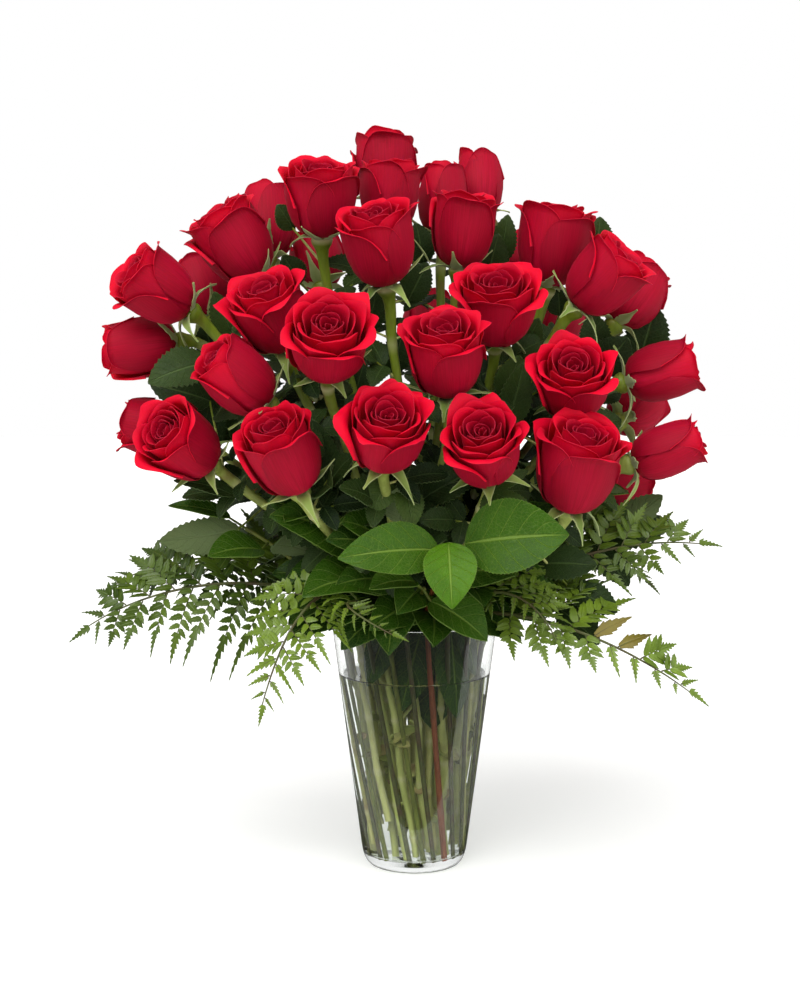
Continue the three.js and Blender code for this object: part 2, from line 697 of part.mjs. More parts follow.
// ---------------------------------------------------------------- putting it together
const roses = ROSES.map(([name, x, y, z, azimuth, elevation, radius, height, kind, turn]) => ({
  name,
  hip: vec(x, y, z),
  axis: direction(azimuth, elevation),
  radius,
  height,
  kind,
  turn,
}));
const fronds = FRONDS.map(([name, azimuth, a, b, c, face, share, longest]) => ({
  name,
  azimuth,
  bends: [a, b, c],
  face,
  share,
  longest,
}));
const sprigs = SALAL.map(([name, azimuth, a, b, c, leaves]) => ({ name, azimuth, bends: [a, b, c], leaves }));

const wants = [
  ...roses.map((rose) => {
    const flat = Math.hypot(rose.hip.x, rose.hip.y);
    const far = (26 * Math.atan2(flat, rose.hip.z - WATER_Z)) / rad(46);
    return { x: (far * rose.hip.x) / flat, y: (far * rose.hip.y) / flat, r: ROSE_STEM_RADIUS };
  }),
  ...[...fronds, ...sprigs].map((green) => ({
    x: 31 * Math.cos(rad(green.azimuth)),
    y: 31 * Math.sin(rad(green.azimuth)),
    r: GREEN_STEM_RADIUS,
  })),
];
const places = standingPlaces(wants);
[...roses, ...fronds, ...sprigs].forEach((grown, i) => {
  grown.place = places[i];
});

for (const rose of roses) {
  const { x, y } = rose.place;
  const sector = Math.floor((THREE.MathUtils.radToDeg(Math.atan2(y, x)) + 390) / 60) % 6;
  rose.bunch = Math.hypot(x, y) < MIDDLE_RADIUS ? BUNCHES[0] : BUNCHES[1 + sector];
}

// How near the line from a to b on the vase's floor comes to a stem that stands elsewhere.
function passes(a, b, other) {
  const dx = b.x - a.x;
  const dy = b.y - a.y;
  const t = ((other.x - a.x) * dx + (other.y - a.y) * dy) / (dx * dx + dy * dy);
  const u = Math.min(1, Math.max(0, t));
  return Math.hypot(a.x + u * dx - other.x, a.y + u * dy - other.y);
}

// Nearest links that hold a bunch together: each stem is tied to the closest one already in, past no
// other bunch's stem.
function links(bunch) {
  const found = [];
  const inside = [bunch[0]];
  const outside = bunch.slice(1);
  const others = [...roses, ...fronds, ...sprigs].filter((one) => !bunch.includes(one));
  while (outside.length) {
    let best = null;
    for (const a of inside) {
      for (const b of outside) {
        const d = Math.hypot(a.place.x - b.place.x, a.place.y - b.place.y);
        const room = Math.min(...others.map((one) => passes(a.place, b.place, one.place) - one.place.r));
        if (room > LINK_ROOM && (!best || d < best.d)) {
          best = { a, b, d };
        }
      }
    }
    if (!best) {
      throw new Error("a stem of its bunch can't be reached");
    }
    found.push(best);
    inside.push(best.b);
    outside.splice(outside.indexOf(best.b), 1);
  }
  return found;
}

// One bunch of rose stems: the stems with hips and sepals, the leaf stalks that lie across from stem to
// stem just above the vase and hold the bunch together, and the rose leaves.
function bunchSolid(name) {
  const members = roses.filter((rose) => rose.bunch === name);
  const parts = members.map(roseStem);
  for (const { a, b } of links(members)) {
    const z = CLEAR_Z - 6 - 3.4 * BUNCHES.indexOf(name);
    parts.push(stalk(standAt(a.place, z), standAt(b.place, z - 1), LINK_RADIUS));
  }
  for (const [stem, base, tip, width, face, leaflets] of ROSE_LEAVES) {
    const rose = members.find((one) => one.name === stem);
    if (!rose) {
      continue;
    }
    const from = vec(...base);
    const to = vec(...tip);
    const ahead = to.clone().sub(from).normalize();
    parts.push(...roseLeaf(from, to, width, vec(...face), leaflets));
    parts.push(stalk(nearestOn(roseCurve(rose), from), along(from, ahead, 1.5)));
  }
  return joined(parts);
}

const bouquet = new THREE.Group();

function add(name, geometry, color, roughness) {
  const material = new THREE.MeshStandardMaterial({ color, roughness, metalness: 0 });
  geometry.computeVertexNormals();
  const mesh = new THREE.Mesh(geometry, material);
  mesh.name = name;
  bouquet.add(mesh);
  return mesh;
}

const glass = add("vase", vaseSolid(), GLASS, 0.02);
glass.material.transparent = true;
glass.material.opacity = 0.35;

const stems = [
  ...roses.map((rose) => ({
    place: rose.place,
    curve: roseCurve(rose),
    radius: ROSE_STEM_RADIUS,
    sides: 5,
  })),
  ...[...fronds, ...sprigs].map((green) => ({
    place: green.place,
    curve: greenCurve(green.place, green.bends),
    radius: GREEN_STEM_RADIUS,
    sides: 3,
  })),
];
const water = add("water", geometryFrom(waterSolid(stems)), WATER, 0.02);
water.material.transparent = true;
water.material.opacity = 0.5;

for (const rose of roses) {
  add("bloom_" + rose.name, bloom(rose), rose.kind === "bud" ? PETAL_DARK : PETAL_RED, 0.6);
}
for (const name of BUNCHES) {
  add("stems_" + name, geometryFrom(bunchSolid(name)), STEM_GREEN, 0.55);
}
for (const spec of fronds) {
  add("fern_" + spec.name, geometryFrom(frond(spec)), FERN_GREEN, 0.5);
}
for (const spec of sprigs) {
  add("salal_" + spec.name, geometryFrom(salal(spec)), SALAL_GREEN, 0.4);
}

export default bouquet;
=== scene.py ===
"""Three dozen red roses in a clear glass vase of water, with leatherleaf fern and salal leaves round them.

Lengths in the tables and in the shape functions are millimetres. The origin is on the vase's axis, on the
surface it stands on, +Z is up and the front is -Y. Stems stand in the vase by the rule that the solid model
uses, so that each piece keeps to its own solid.
"""

import math
from functools import partial

import bpy
import numpy as np
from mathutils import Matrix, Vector


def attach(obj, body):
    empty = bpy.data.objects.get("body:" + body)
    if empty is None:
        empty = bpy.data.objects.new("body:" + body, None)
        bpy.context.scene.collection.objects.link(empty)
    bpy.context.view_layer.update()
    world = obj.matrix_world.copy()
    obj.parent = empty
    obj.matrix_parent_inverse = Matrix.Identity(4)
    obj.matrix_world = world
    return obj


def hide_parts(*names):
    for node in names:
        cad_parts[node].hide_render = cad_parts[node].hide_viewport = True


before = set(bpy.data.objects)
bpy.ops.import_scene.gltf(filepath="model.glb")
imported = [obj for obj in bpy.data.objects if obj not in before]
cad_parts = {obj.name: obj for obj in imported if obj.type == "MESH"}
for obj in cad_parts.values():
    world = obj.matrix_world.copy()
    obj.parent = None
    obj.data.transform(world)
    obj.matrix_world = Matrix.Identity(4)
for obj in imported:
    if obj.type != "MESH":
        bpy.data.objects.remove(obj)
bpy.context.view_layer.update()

bl_info = {
    "name": "Roses in a vase",
    "version": (1, 0, 0),
    "blender": (4, 5, 0),
    "location": "3D View > Sidebar > Bouquet",
    "description": "Builds a bouquet of red roses, fern and salal in a glass vase of water",
    "category": "Object",
}

# ---------------------------------------------------------------- sizes
MM = 0.001

# The vase tapers straight from its foot to its rim. The water stands in it up to WATER_Z.
VASE_HEIGHT = 190.0
RIM_RADIUS = 63.5
FOOT_RADIUS = 41.2
FOOT_HEIGHT = 19.0
WALL = 3.2
FLOOR_Z = 9.0
FLOOR_RADIUS = 36.5
WATER_Z = 148.0

# A stem is straight from the vase's floor to CLEAR_Z. Its place is turned by SPIRAL at the floor and drawn
# out by SPREAD at the rim. A rose that leans by ROSE_LEAN wants to stand ROSE_FAR from the axis, and greens
# GREEN_FAR.
SPREAD = 0.8
CLEAR_Z = 200.0
SPIRAL = math.radians(34)
ROSE_STEM_RADIUS = 3.1
GREEN_STEM_RADIUS = 1.8
STEM_SPACING = 1.7
FLOOR_MARGIN = 3.2
PUSHES = 600
ROSE_FAR = 26
ROSE_LEAN = math.radians(46)
GREEN_FAR = 31
# The air between a stem and the vase's floor, and between a bloom and its hip.
GAP = 0.3

# Roses that stand side by side share a bunch, whose stems are joined by leaf stalks of LINK_RADIUS.
HIP_HEIGHT = 13.0
MIDDLE_RADIUS = 13.5
LINK_RADIUS = 1.3
LINK_ROOM = 1.0
BUNCHES = ("middle", "right", "back_right", "back_left", "left", "front_left", "front_right")

# name, top of the hip (x, y, z), azimuth and elevation of the bloom's axis in degrees, radius, height,
# kind, turn.
ROSES = (
    ("01", -24, 85, 515, 90, 76, 31, 51, "half", 10),
    ("02", -69, -14, 479, -92, 71, 33, 54, "half", 40),
    ("03", -21, -52, 443, -114, 66, 33, 58, "half", 75),
    ("04", 51, 84, 502, 88, 70, 25, 49, "bud", 20),
    ("05", 33, -12, 456, -52, 80, 30, 56, "half", 0),
    ("06", 22, 50, 484, 89, 80, 24, 55, "bud", 33),
    ("32", -20, 15, 484, 0, 88, 29, 54, "half", 60),
    ("07", -117, -10, 449, -162, 56, 34, 60, "half", 15),
    ("08", -115, 54, 468, 93, 66, 29, 56, "bud", 50),
    ("09", -167, -28, 424, -155, 34, 31, 55, "half", 80),
    ("10", -158, 44, 420, 140, 62, 28, 48, "bud", 5),
    ("30", -74, 76, 446, 110, 58, 27, 46, "bud", 25),
    ("11", -180, 2, 400, -169, -7, 29, 55, "bud", 12),
    ("12", -95, -58, 397, -119, 57, 35, 57, "open", 30),
    ("14", -106, -86, 358, -153, 40, 29, 54, "bud", 55),
    ("15", -82, -104, 299, -122, 54, 32, 59, "half", 20),
    ("16", -150, -58, 314, -130, 30, 32, 55, "half", 65),
    ("17", -178, 10, 330, -173, 13, 27, 46, "bud", 40),
    ("13", -61, -108, 381, -87, 45, 37, 54, "open", 8),
    ("18", -22, -118, 319, -84, 47, 36, 54, "open", 44),
    ("19", 50, -110, 309, -101, 45, 34, 55, "open", 70),
    ("20", 22, -95, 366, -97, 58, 35, 61, "open", 22),
    ("21", 58, -45, 402, -90, 58, 39, 56, "open", 57),
    ("25", 113, -56, 352, -93, 48, 35, 53, "open", 35),
    ("27", 108, -85, 284, -71, 62, 36, 66, "half", 5),
    ("28", 161, -35, 312, -6, 21, 25, 54, "bud", 50),
    ("31", 140, 22, 290, 10, 4, 23, 42, "bud", 15),
    ("26", 159, -8, 371, -6, 16, 28, 54, "bud", 62),
    ("22", 99, 6, 443, -46, 79, 34, 63, "half", 30),
    ("23", 119, -32, 427, -22, 46, 32, 54, "half", 48),
    ("24", 156, 38, 416, 21, 55, 30, 52, "bud", 18),
    ("29", 160, 36, 340, 50, 22, 26, 46, "bud", 72),
    ("33", 84, 60, 448, 70, 50, 26, 46, "bud", 10),
    ("34", 108, 84, 392, 62, 45, 27, 46, "bud", 36),
    ("35", -78, 104, 366, 118, 40, 29, 50, "bud", 58),
    ("36", 12, 116, 396, 86, 48, 29, 50, "bud", 26),
)

# How many petals each kind of bloom has, and their form at some places from the outermost (0) to the heart
# (1): belly radius, radius where the lip starts to turn out, height there, length of the lip, how far it
# turns in degrees, and half the angle that the petal wraps. Radii and the lip are shares of the bloom's
# radius, heights are shares of its height.
PETALS = {
    "open": (
        25,
        (
            (0.00, 0.76, 0.74, 0.64, 0.36, 125, 56),
            (0.10, 0.74, 0.72, 0.70, 0.34, 115, 56),
            (0.22, 0.69, 0.69, 0.76, 0.29, 100, 57),
            (0.36, 0.59, 0.62, 0.81, 0.22, 80, 60),
            (0.50, 0.47, 0.50, 0.85, 0.15, 60, 66),
            (0.66, 0.34, 0.36, 0.86, 0.10, 45, 80),
            (0.84, 0.20, 0.21, 0.84, 0.05, 30, 110),
            (1.00, 0.07, 0.06, 0.78, 0.02, 10, 150),
        ),
    ),
    "half": (
        23,
        (
            (0.00, 0.82, 0.80, 0.74, 0.30, 118, 62),
            (0.14, 0.79, 0.77, 0.83, 0.26, 100, 62),
            (0.28, 0.71, 0.68, 0.89, 0.18, 76, 62),
            (0.44, 0.57, 0.54, 0.92, 0.12, 55, 68),
            (0.62, 0.41, 0.38, 0.93, 0.08, 40, 80),
            (0.82, 0.23, 0.21, 0.91, 0.04, 25, 110),
            (1.00, 0.08, 0.06, 0.87, 0.02, 10, 150),
        ),
    ),
    "bud": (
        16,
        (
            (0.00, 0.95, 0.70, 0.82, 0.26, 100, 66),
            (0.18, 0.90, 0.66, 0.88, 0.22, 84, 66),
            (0.40, 0.72, 0.50, 0.93, 0.13, 55, 74),
            (0.66, 0.44, 0.30, 0.95, 0.07, 35, 95),
            (1.00, 0.12, 0.06, 0.93, 0.02, 10, 150),
        ),
    ),
}

# name, azimuth of its stem, two bends and the tip of its midrib, the way its face looks, its blade's share
# of the midrib above the vase, the length of its longest pinna, its tone from dark (0) to bright (1).
FRONDS = (
    ("left_front", 188, (-95, -38, 232), (-190, -44, 232), (-252, -46, 184),
     (0, -0.85, 0.52), 0.78, 84, 0.32),
    ("left_rear", 170, (-95, 14, 240), (-185, 6, 250), (-238, 0, 210), (-0.1, -0.6, 0.8), 0.75, 70, 0.2),
    ("front_left", -130, (-56, -74, 238), (-88, -106, 228), (-110, -116, 138),
     (-0.3, -0.9, 0.42), 0.72, 54, 0.82),
    ("front", -98, (-64, -96, 228), (-58, -126, 220), (-10, -132, 197), (0, -0.85, 0.55), 0.62, 22, 0.8),
    ("right", -18, (82, -56, 240), (160, -62, 264), (220, -52, 252), (0, -0.85, 0.52), 0.8, 76, 0.5),
    ("front_right", -44, (72, -86, 213), (142, -111, 198), (204, -100, 146), (0.1, -0.8, 0.6), 0.8, 76, 0.85),
    ("front_mid", -66, (46, -74, 230), (84, -98, 234), (102, -106, 184), (0.2, -0.8, 0.6), 0.72, 52, 0.62),
    ("back_left", 140, (-80, 70, 240), (-150, 112, 240), (-196, 132, 190), (-0.3, 0.4, 0.85), 0.76, 66, 0.4),
    ("back", 100, (-12, 92, 238), (-20, 150, 236), (-24, 192, 180), (0, 0.5, 0.85), 0.76, 62, 0.5),
    ("back_right", 42, (80, 72, 240), (152, 104, 244), (204, 124, 194), (0.3, 0.4, 0.85), 0.76, 66, 0.35),
)

# name, azimuth of its stem, two bends and the tip of its stem, then its leaves: base, tip, width, the way
# the face looks, tone from dark (0) to bright (1).
SALAL = (
    ("front", -82, (8, -84, 224), (22, -104, 240), (25, -118, 258),
     (((16, -124, 258), (-53, -148, 255), 39, (0.1, -0.88, 0.45), 0.46),
      ((34, -122, 262), (104, -138, 270), 54, (0.05, -0.93, 0.36), 0.42),
      ((22, -134, 264), (24, -157, 222), 37, (0, -0.9, 0.4), 0.92))),
    ("front_low", -112, (0, -74, 212), (4, -84, 220), (6, -92, 226),
     (((10, -98, 218), (50, -112, 192), 40, (0.3, -0.6, 0.75), 0.3),
      ((0, -98, 232), (-32, -120, 230), 30, (-0.1, -0.5, 0.85), 0.35))),
    ("left", -160, (-70, -30, 226), (-104, -30, 250), (-126, -26, 262),
     (((-138, -22, 270), (-184, -26, 279), 16, (0, -0.6, 0.8), 0.2),
      ((-112, -44, 248), (-150, -66, 246), 36, (0, -0.5, 0.85), 0.3))),
    ("right", 4, (70, 4, 226), (96, 4, 250), (108, 0, 264),
     (((112, -4, 284), (160, -24, 288), 26, (0, -0.5, 0.85), 0.2),
      ((110, 16, 264), (142, 46, 252), 34, (0.3, 0.3, 0.9), 0.4))),
    ("back", 68, (18, 88, 230), (22, 112, 252), (24, 124, 268),
     (((16, 130, 270), (-36, 150, 280), 38, (0, 0.6, 0.75), 0.6),
      ((34, 130, 272), (84, 146, 276), 38, (0.2, 0.6, 0.75), 0.7),
      ((26, 138, 270), (28, 170, 238), 36, (0, 0.7, 0.6), 0.9))),
)

# The ways that most leaves of the next table face: flat to the viewer, or with the pale underside to the
# viewer.
FRONT_ON = (0, -0.95, 0.3)
PALE_SIDE = (0, 0.95, -0.3)

# Rose leaves that are seen on their own or close a gap between blooms: the rose whose stem carries the
# leaf, then base, tip, width, the way the face looks, leaflets, tone.
ROSE_LEAVES = (
    ("09", (-150, -36, 386), (-194, -50, 371), 34, (-0.1, -0.9, 0.4), 1, 0.45),
    ("25", (66, -46, 338), (78, -58, 386), 26, (0.2, -0.9, 0.3), 1, 0.5),
    ("12", (-62, -66, 288), (-74, -76, 346), 36, (-0.2, -0.9, 0.3), 1, 0.2),
    ("16", (-132, -44, 288), (-176, -52, 300), 16, (0, -0.7, 0.7), 1, 0.3),
    ("18", (-20, -92, 304), (-30, -100, 282), 24, FRONT_ON, 1, 0.9),
    ("19", (54, -104, 296), (84, -122, 280), 14, (0, -0.9, 0.4), 3, 0.8),
    ("22", (80, -12, 392), (92, -24, 418), 22, (0, -0.95, 0.2), 1, 0.6),
    ("07", (-136, 2, 404), (-150, -6, 438), 22, (-0.2, -0.95, 0.2), 1, 0.8),
    ("20", (-8, -94, 300), (-2, -106, 272), 22, (0.2, -0.95, 0.2), 1, 0.9),
    ("36", (0, 112, 318), (-28, 134, 356), 34, (-0.1, 0.8, 0.6), 1, 0.4),
    ("34", (112, 78, 316), (146, 98, 346), 34, (0.4, 0.7, 0.6), 1, 0.4),
    ("32", (-5, 10, 431), (10, 4, 460), 26, FRONT_ON, 1, 0.3),
    ("32", (7, 15, 460), (1, 9, 490), 24, FRONT_ON, 1, 0.2),
    ("33", (55, 30, 443), (64, 24, 483), 28, FRONT_ON, 1, 0.35),
    ("33", (66, 40, 461), (72, 34, 498), 22, FRONT_ON, 1, 0.5),
    ("24", (144, 30, 377), (164, 24, 404), 34, FRONT_ON, 1, 0.2),
    ("24", (140, 30, 392), (136, 24, 423), 26, FRONT_ON, 1, 0.3),
    ("24", (177, 50, 387), (188, 44, 429), 36, FRONT_ON, 1, 0.15),
    ("03", (-35, 5, 409), (-28, -1, 440), 22, FRONT_ON, 1, 0.3),
    ("36", (-17, 15, 377), (-8, 9, 410), 24, FRONT_ON, 1, 0.2),
    ("36", (-48, 15, 349), (-38, 9, 386), 26, FRONT_ON, 1, 0.2),
    ("17", (-152, 10, 316), (-184, 4, 356), 46, FRONT_ON, 1, 0.15),
    ("10", (-140, 20, 325), (-155, 14, 362), 30, FRONT_ON, 1, 0.3),
    ("16", (-133, 0, 285), (-142, -6, 309), 24, FRONT_ON, 1, 0.4),
    ("30", (-87, 20, 445), (-100, 14, 466), 22, FRONT_ON, 1, 0.3),
    ("34", (112, 30, 421), (110, 24, 442), 22, FRONT_ON, 1, 0.3),
    ("24", (142, 50, 469), (144, 44, 497), 24, FRONT_ON, 1, 0.4),
    ("28", (130, -20, 259), (158, -26, 276), 30, FRONT_ON, 1, 0.7),
    ("17", (-130, -30, 262), (-189, -36, 254), 30, PALE_SIDE, 1, 0.9),
    ("10", (-154, 20, 389), (-160, 14, 415), 24, FRONT_ON, 1, 0.2),
    ("28", (146, -10, 256), (186, -16, 286), 26, PALE_SIDE, 1, 0.9),
    ("31", (138, 10, 250), (196, 4, 262), 34, (0, -0.9, 0.4), 3, 0.25),
    ("27", (112, -60, 222), (146, -72, 206), 26, (0.1, -0.9, 0.4), 1, 0.25),
    ("27", (104, -64, 208), (132, -80, 184), 28, (0.1, -0.9, 0.4), 1, 0.35),
    ("02", (-92, 20, 486), (-104, 14, 504), 20, FRONT_ON, 1, 0.5),
    ("22", (108, 20, 470), (114, 14, 498), 26, FRONT_ON, 1, 0.4),
    ("18", (-10, -96, 273), (-12, -102, 299), 26, PALE_SIDE, 1, 0.9),
    ("15", (-60, -70, 306), (-59, -76, 342), 15, (0.3, 0.9, -0.3), 1, 0.9),
    ("20", (66, -40, 358), (76, -46, 391), 26, FRONT_ON, 1, 0.9),
    ("16", (-153, -4, 356), (-198, -10, 369), 32, FRONT_ON, 1, 0.2),
)


# ---------------------------------------------------------------- small helpers
def seeded(seed):
    """Numbers from 0 to 1 that are the same on every run: each state is 16807 times the last, modulo 2^31 -
    1."""
    state = seed
    while True:
        state = state * 16807 % 2147483647
        yield state / 2147483647


def vec(*values):
    """These numbers as an array."""
    return np.array(values, float)


def unit(a):
    """Vectors divided by their lengths, along the last axis."""
    return a / np.maximum(np.linalg.norm(a, axis=-1, keepdims=True), 1e-9)


def direction(azimuth, elevation):
    """The unit vector at an azimuth from +X towards +Y and an elevation above level, in degrees."""
    a, e = math.radians(azimuth), math.radians(elevation)
    return vec(math.cos(e) * math.cos(a), math.cos(e) * math.sin(a), math.sin(e))


def square_to(face, ahead):
    """The unit vector nearest to face that is square to ahead."""
    return unit(face - ahead * np.sum(face * ahead, axis=-1, keepdims=True))


def smooth(low, high, x):
    """0 below low, 1 above high, and a smooth cubic between them."""
    t = np.clip((x - low) / (high - low), 0, 1)
    return t * t * (3 - 2 * t)


def bezier(points, t):
    """A cubic Bezier curve: weights (1-t)^3, 3t(1-t)^2, 3t^2(1-t) and t^3 on its four points."""
    t = np.asarray(t, float)[..., None]
    a, b, c, d = points
    return (1 - t) ** 3 * a + 3 * t * (1 - t) ** 2 * b + 3 * t * t * (1 - t) * c + t**3 * d


def bezier_heading(points, t):
    """The unit tangent of a cubic Bezier: weights 3(1-t)^2, 6t(1-t) and 3t^2 on the differences of its
    points."""
    t = np.asarray(t, float)[..., None]
    a, b, c, d = points
    return unit(3 * (1 - t) ** 2 * (b - a) + 6 * t * (1 - t) * (c - b) + 3 * t * t * (d - c))


class Run:
    """A Bezier curve read by the length along it: a table of 400 points gives the parameter for each
    length."""

    def __init__(self, points):
        self.points = [np.asarray(p, float) for p in points]
        self.t = np.linspace(0, 1, 401)
        steps = np.linalg.norm(np.diff(bezier(self.points, self.t), axis=0), axis=1)
        self.length = np.concatenate([[0], np.cumsum(steps)])
        self.whole = self.length[-1]

    def at(self, length):
        """The points at these lengths."""
        return bezier(self.points, np.interp(length, self.length, self.t))

    def heading(self, length):
        """The unit tangents at these lengths."""
        return bezier_heading(self.points, np.interp(length, self.length, self.t))


# ---------------------------------------------------------------- surfaces
class Sheaf:
    """Gathers closed surfaces as arrays and makes one object of them.

    Every point carries four marks, which the materials read: how far across its blade it is (-1 to 1), how
    far along (0 to 1), which side it is on (0 front, 1 back) and a tone. On a tube the third is how much of
    a swollen joint it is.
    """

    def __init__(self):
        self.points = []
        self.marks = []
        self.quads = []
        self.triangles = []
        self.quad_kinds = []
        self.triangle_kinds = []
        self.count = 0

    def add(self, points, marks, kind, quads, triangles=None):
        """Adds a surface; kind is the place of its material among the object's."""
        self.points.append(points.reshape(-1, 3))
        self.marks.append(marks.reshape(-1, 4))
        self.quads.append(quads.reshape(-1, 4) + self.count)
        self.quad_kinds.append(np.full(len(self.quads[-1]), kind))
        if triangles is not None:
            self.triangles.append(triangles.reshape(-1, 3) + self.count)
            self.triangle_kinds.append(np.full(len(self.triangles[-1]), kind))
        self.count += len(self.points[-1])

    def build(self, name, materials, crease=60):
        """Makes the object: points and faces go in by foreach_set, the marks as two attributes."""
        points = np.concatenate(self.points) * MM
        marks = np.concatenate(self.marks)
        quads = np.concatenate(self.quads)
        triangles = np.concatenate(self.triangles) if self.triangles else np.zeros((0, 3), int)
        kinds = np.concatenate(self.quad_kinds + self.triangle_kinds)
        loops = np.concatenate([quads.ravel(), triangles.ravel()])
        sizes = np.concatenate([np.full(len(quads), 4), np.full(len(triangles), 3)])
        mesh = bpy.data.meshes.new(name)
        mesh.vertices.add(len(points))
        mesh.vertices.foreach_set("co", points.ravel().astype(np.float32))
        mesh.loops.add(len(loops))
        mesh.loops.foreach_set("vertex_index", loops.astype(np.int32))
        mesh.polygons.add(len(sizes))
        starts = np.concatenate([[0], np.cumsum(sizes)[:-1]])
        mesh.polygons.foreach_set("loop_start", starts.astype(np.int32))
        mesh.polygons.foreach_set("material_index", kinds.astype(np.int32))
        mesh.polygons.foreach_set("use_smooth", np.ones(len(sizes), bool))
        mesh.update(calc_edges=True)
        mesh.validate()
        blade = mesh.attributes.new("blade", "FLOAT_VECTOR", "POINT")
        blade.data.foreach_set("vector", marks[:, :3].ravel().astype(np.float32))
        tone = mesh.attributes.new("tone", "FLOAT", "POINT")
        tone.data.foreach_set("value", marks[:, 3].astype(np.float32))
        mesh.set_sharp_from_angle(angle=math.radians(crease))
        for material in materials:
            mesh.materials.append(material)
        piece = bpy.data.objects.new(name, mesh)
        bpy.context.scene.collection.objects.link(piece)
        return piece


def blade_faces(rows, columns):
    """Faces of one closed blade: front points first, then back points, each rows x columns.

    The front's quads run up the rows and then across, the back's the other way round, and a wall of quads
    follows the border.
    """
    n = rows * columns
    index = np.arange(n).reshape(rows, columns)
    a, b, c, d = index[:-1, :-1], index[1:, :-1], index[1:, 1:], index[:-1, 1:]
    front = np.stack([a, b, c, d], -1).reshape(-1, 4)
    border = np.concatenate([index[:, 0], index[-1, 1:], index[-2::-1, -1], index[0, -2:0:-1]])
    onward = np.roll(border, -1)
    wall = np.stack([onward, border, border + n, onward + n], -1)
    return np.concatenate([front, front[:, ::-1] + n, wall])


def ring_faces(rings, sides):
    """Quads between neighbouring rings of a round surface, and triangles from the first and the last ring
    to the two points that close it, which follow the rings."""
    n = rings * sides
    index = np.arange(n).reshape(rings, sides)
    onward = np.roll(index, -1, axis=1)
    quads = np.stack([index[:-1], onward[:-1], onward[1:], index[1:]], -1).reshape(-1, 4)
    first = np.stack([np.full(sides, n), onward[0], index[0]], -1)
    last = np.stack([np.full(sides, n + 1), index[-1], onward[-1]], -1)
    return quads, np.concatenate([first, last])


def add_blades(sheaf, grid, thickness, kind, tone, along=None):
    """Adds closed blades whose middle points are grid, of shape (blades, rows, columns, 3).

    The normal is the cross product of the grid's two directions. The front stands half the thickness along
    it and the back half the thickness against it.
    """
    blades, rows, columns = grid.shape[:3]
    normal = unit(np.cross(np.gradient(grid, axis=1), np.gradient(grid, axis=2)))
    half = np.asarray(thickness, float) / 2
    half = half[..., None] if half.ndim else half
    points = np.stack([grid + normal * half, grid - normal * half], 1)
    marks = np.zeros((blades, 2, rows, columns, 4))
    marks[..., 0] = np.linspace(-1, 1, columns)
    marks[..., 1] = np.linspace(0, 1, rows)[:, None] if along is None else along
    marks[:, 1, :, :, 2] = 1
    marks[..., 3] = np.broadcast_to(np.asarray(tone, float), (blades,))[:, None, None, None]
    starts = np.arange(blades)[:, None, None] * (2 * rows * columns)
    sheaf.add(points, marks, kind, blade_faces(rows, columns)[None] + starts)


def add_tube(sheaf, path, radius, sides, kind, tone, reference=None, along=None, joints=None):
    """Adds a closed tube: at each station of the path a ring square to it, and a point on the axis closes
    each end.

    The ring is cos a times the reference made square to the path, plus sin a times the cross product of the
    path's heading and that. The third mark is how much of a joint each station is, from 0 to 1.
    """
    path = np.asarray(path, float)
    heading = unit(np.gradient(path, axis=0))
    if reference is None:
        reference = np.cross(path[-1] - path[0], vec(0.31, 0.17, 0.93))
    x = square_to(np.broadcast_to(unit(np.asarray(reference, float)), heading.shape), heading)
    y = np.cross(heading, x)
    a = np.linspace(0, 2 * np.pi, sides, endpoint=False)
    r = np.broadcast_to(np.asarray(radius, float), (len(path),))[:, None, None]
    rings = path[:, None] + r * (np.cos(a)[:, None] * x[:, None] + np.sin(a)[:, None] * y[:, None])
    n = len(path)
    points = np.concatenate([rings.reshape(-1, 3), path[:1], path[-1:]])
    marks = np.zeros((len(points), 4))
    share = np.linspace(0, 1, n) if along is None else np.asarray(along, float)
    marks[: n * sides, 0] = np.tile(np.cos(a), n)
    marks[: n * sides, 1] = np.repeat(share, sides)
    marks[-2:, 1] = share[[0, -1]]
    if joints is not None:
        marks[: n * sides, 2] = np.repeat(joints, sides)
    marks[:, 3] = tone
    sheaf.add(points, marks, kind, *ring_faces(n, sides))


# ---------------------------------------------------------------- where the stems stand
def scale_at(z):
    """How far the vase's taper draws a stem's place out at a height."""
    return 1 + SPREAD * (z - FLOOR_Z) / (VASE_HEIGHT - FLOOR_Z)


def standing_places(wants):
    """Each stem starts where its bloom or frond wants it, and stems push each other apart until none is
    closer than the spacing or nearer to the wall than the margin. wants holds x, y and radius."""
    places = [list(w) for w in wants]
    for _ in range(PUSHES):
        for i, a in enumerate(places):
            for b in places[i + 1 :]:
                dx, dy = b[0] - a[0], b[1] - a[1]
                d2 = dx * dx + dy * dy
                near = a[2] + b[2] + STEM_SPACING
                if d2 > near * near:
                    continue
                d = math.sqrt(d2) + 1e-9
                short = near - d
                if short > 0:
                    a[0] -= dx / d * short * 0.5
                    a[1] -= dy / d * short * 0.5
                    b[0] += dx / d * short * 0.5
                    b[1] += dy / d * short * 0.5
        for p in places:
            far = math.hypot(p[0], p[1])
            most = FLOOR_RADIUS - FLOOR_MARGIN - p[2]
            if far > most:
                p[0] *= most / far
                p[1] *= most / far
    return places


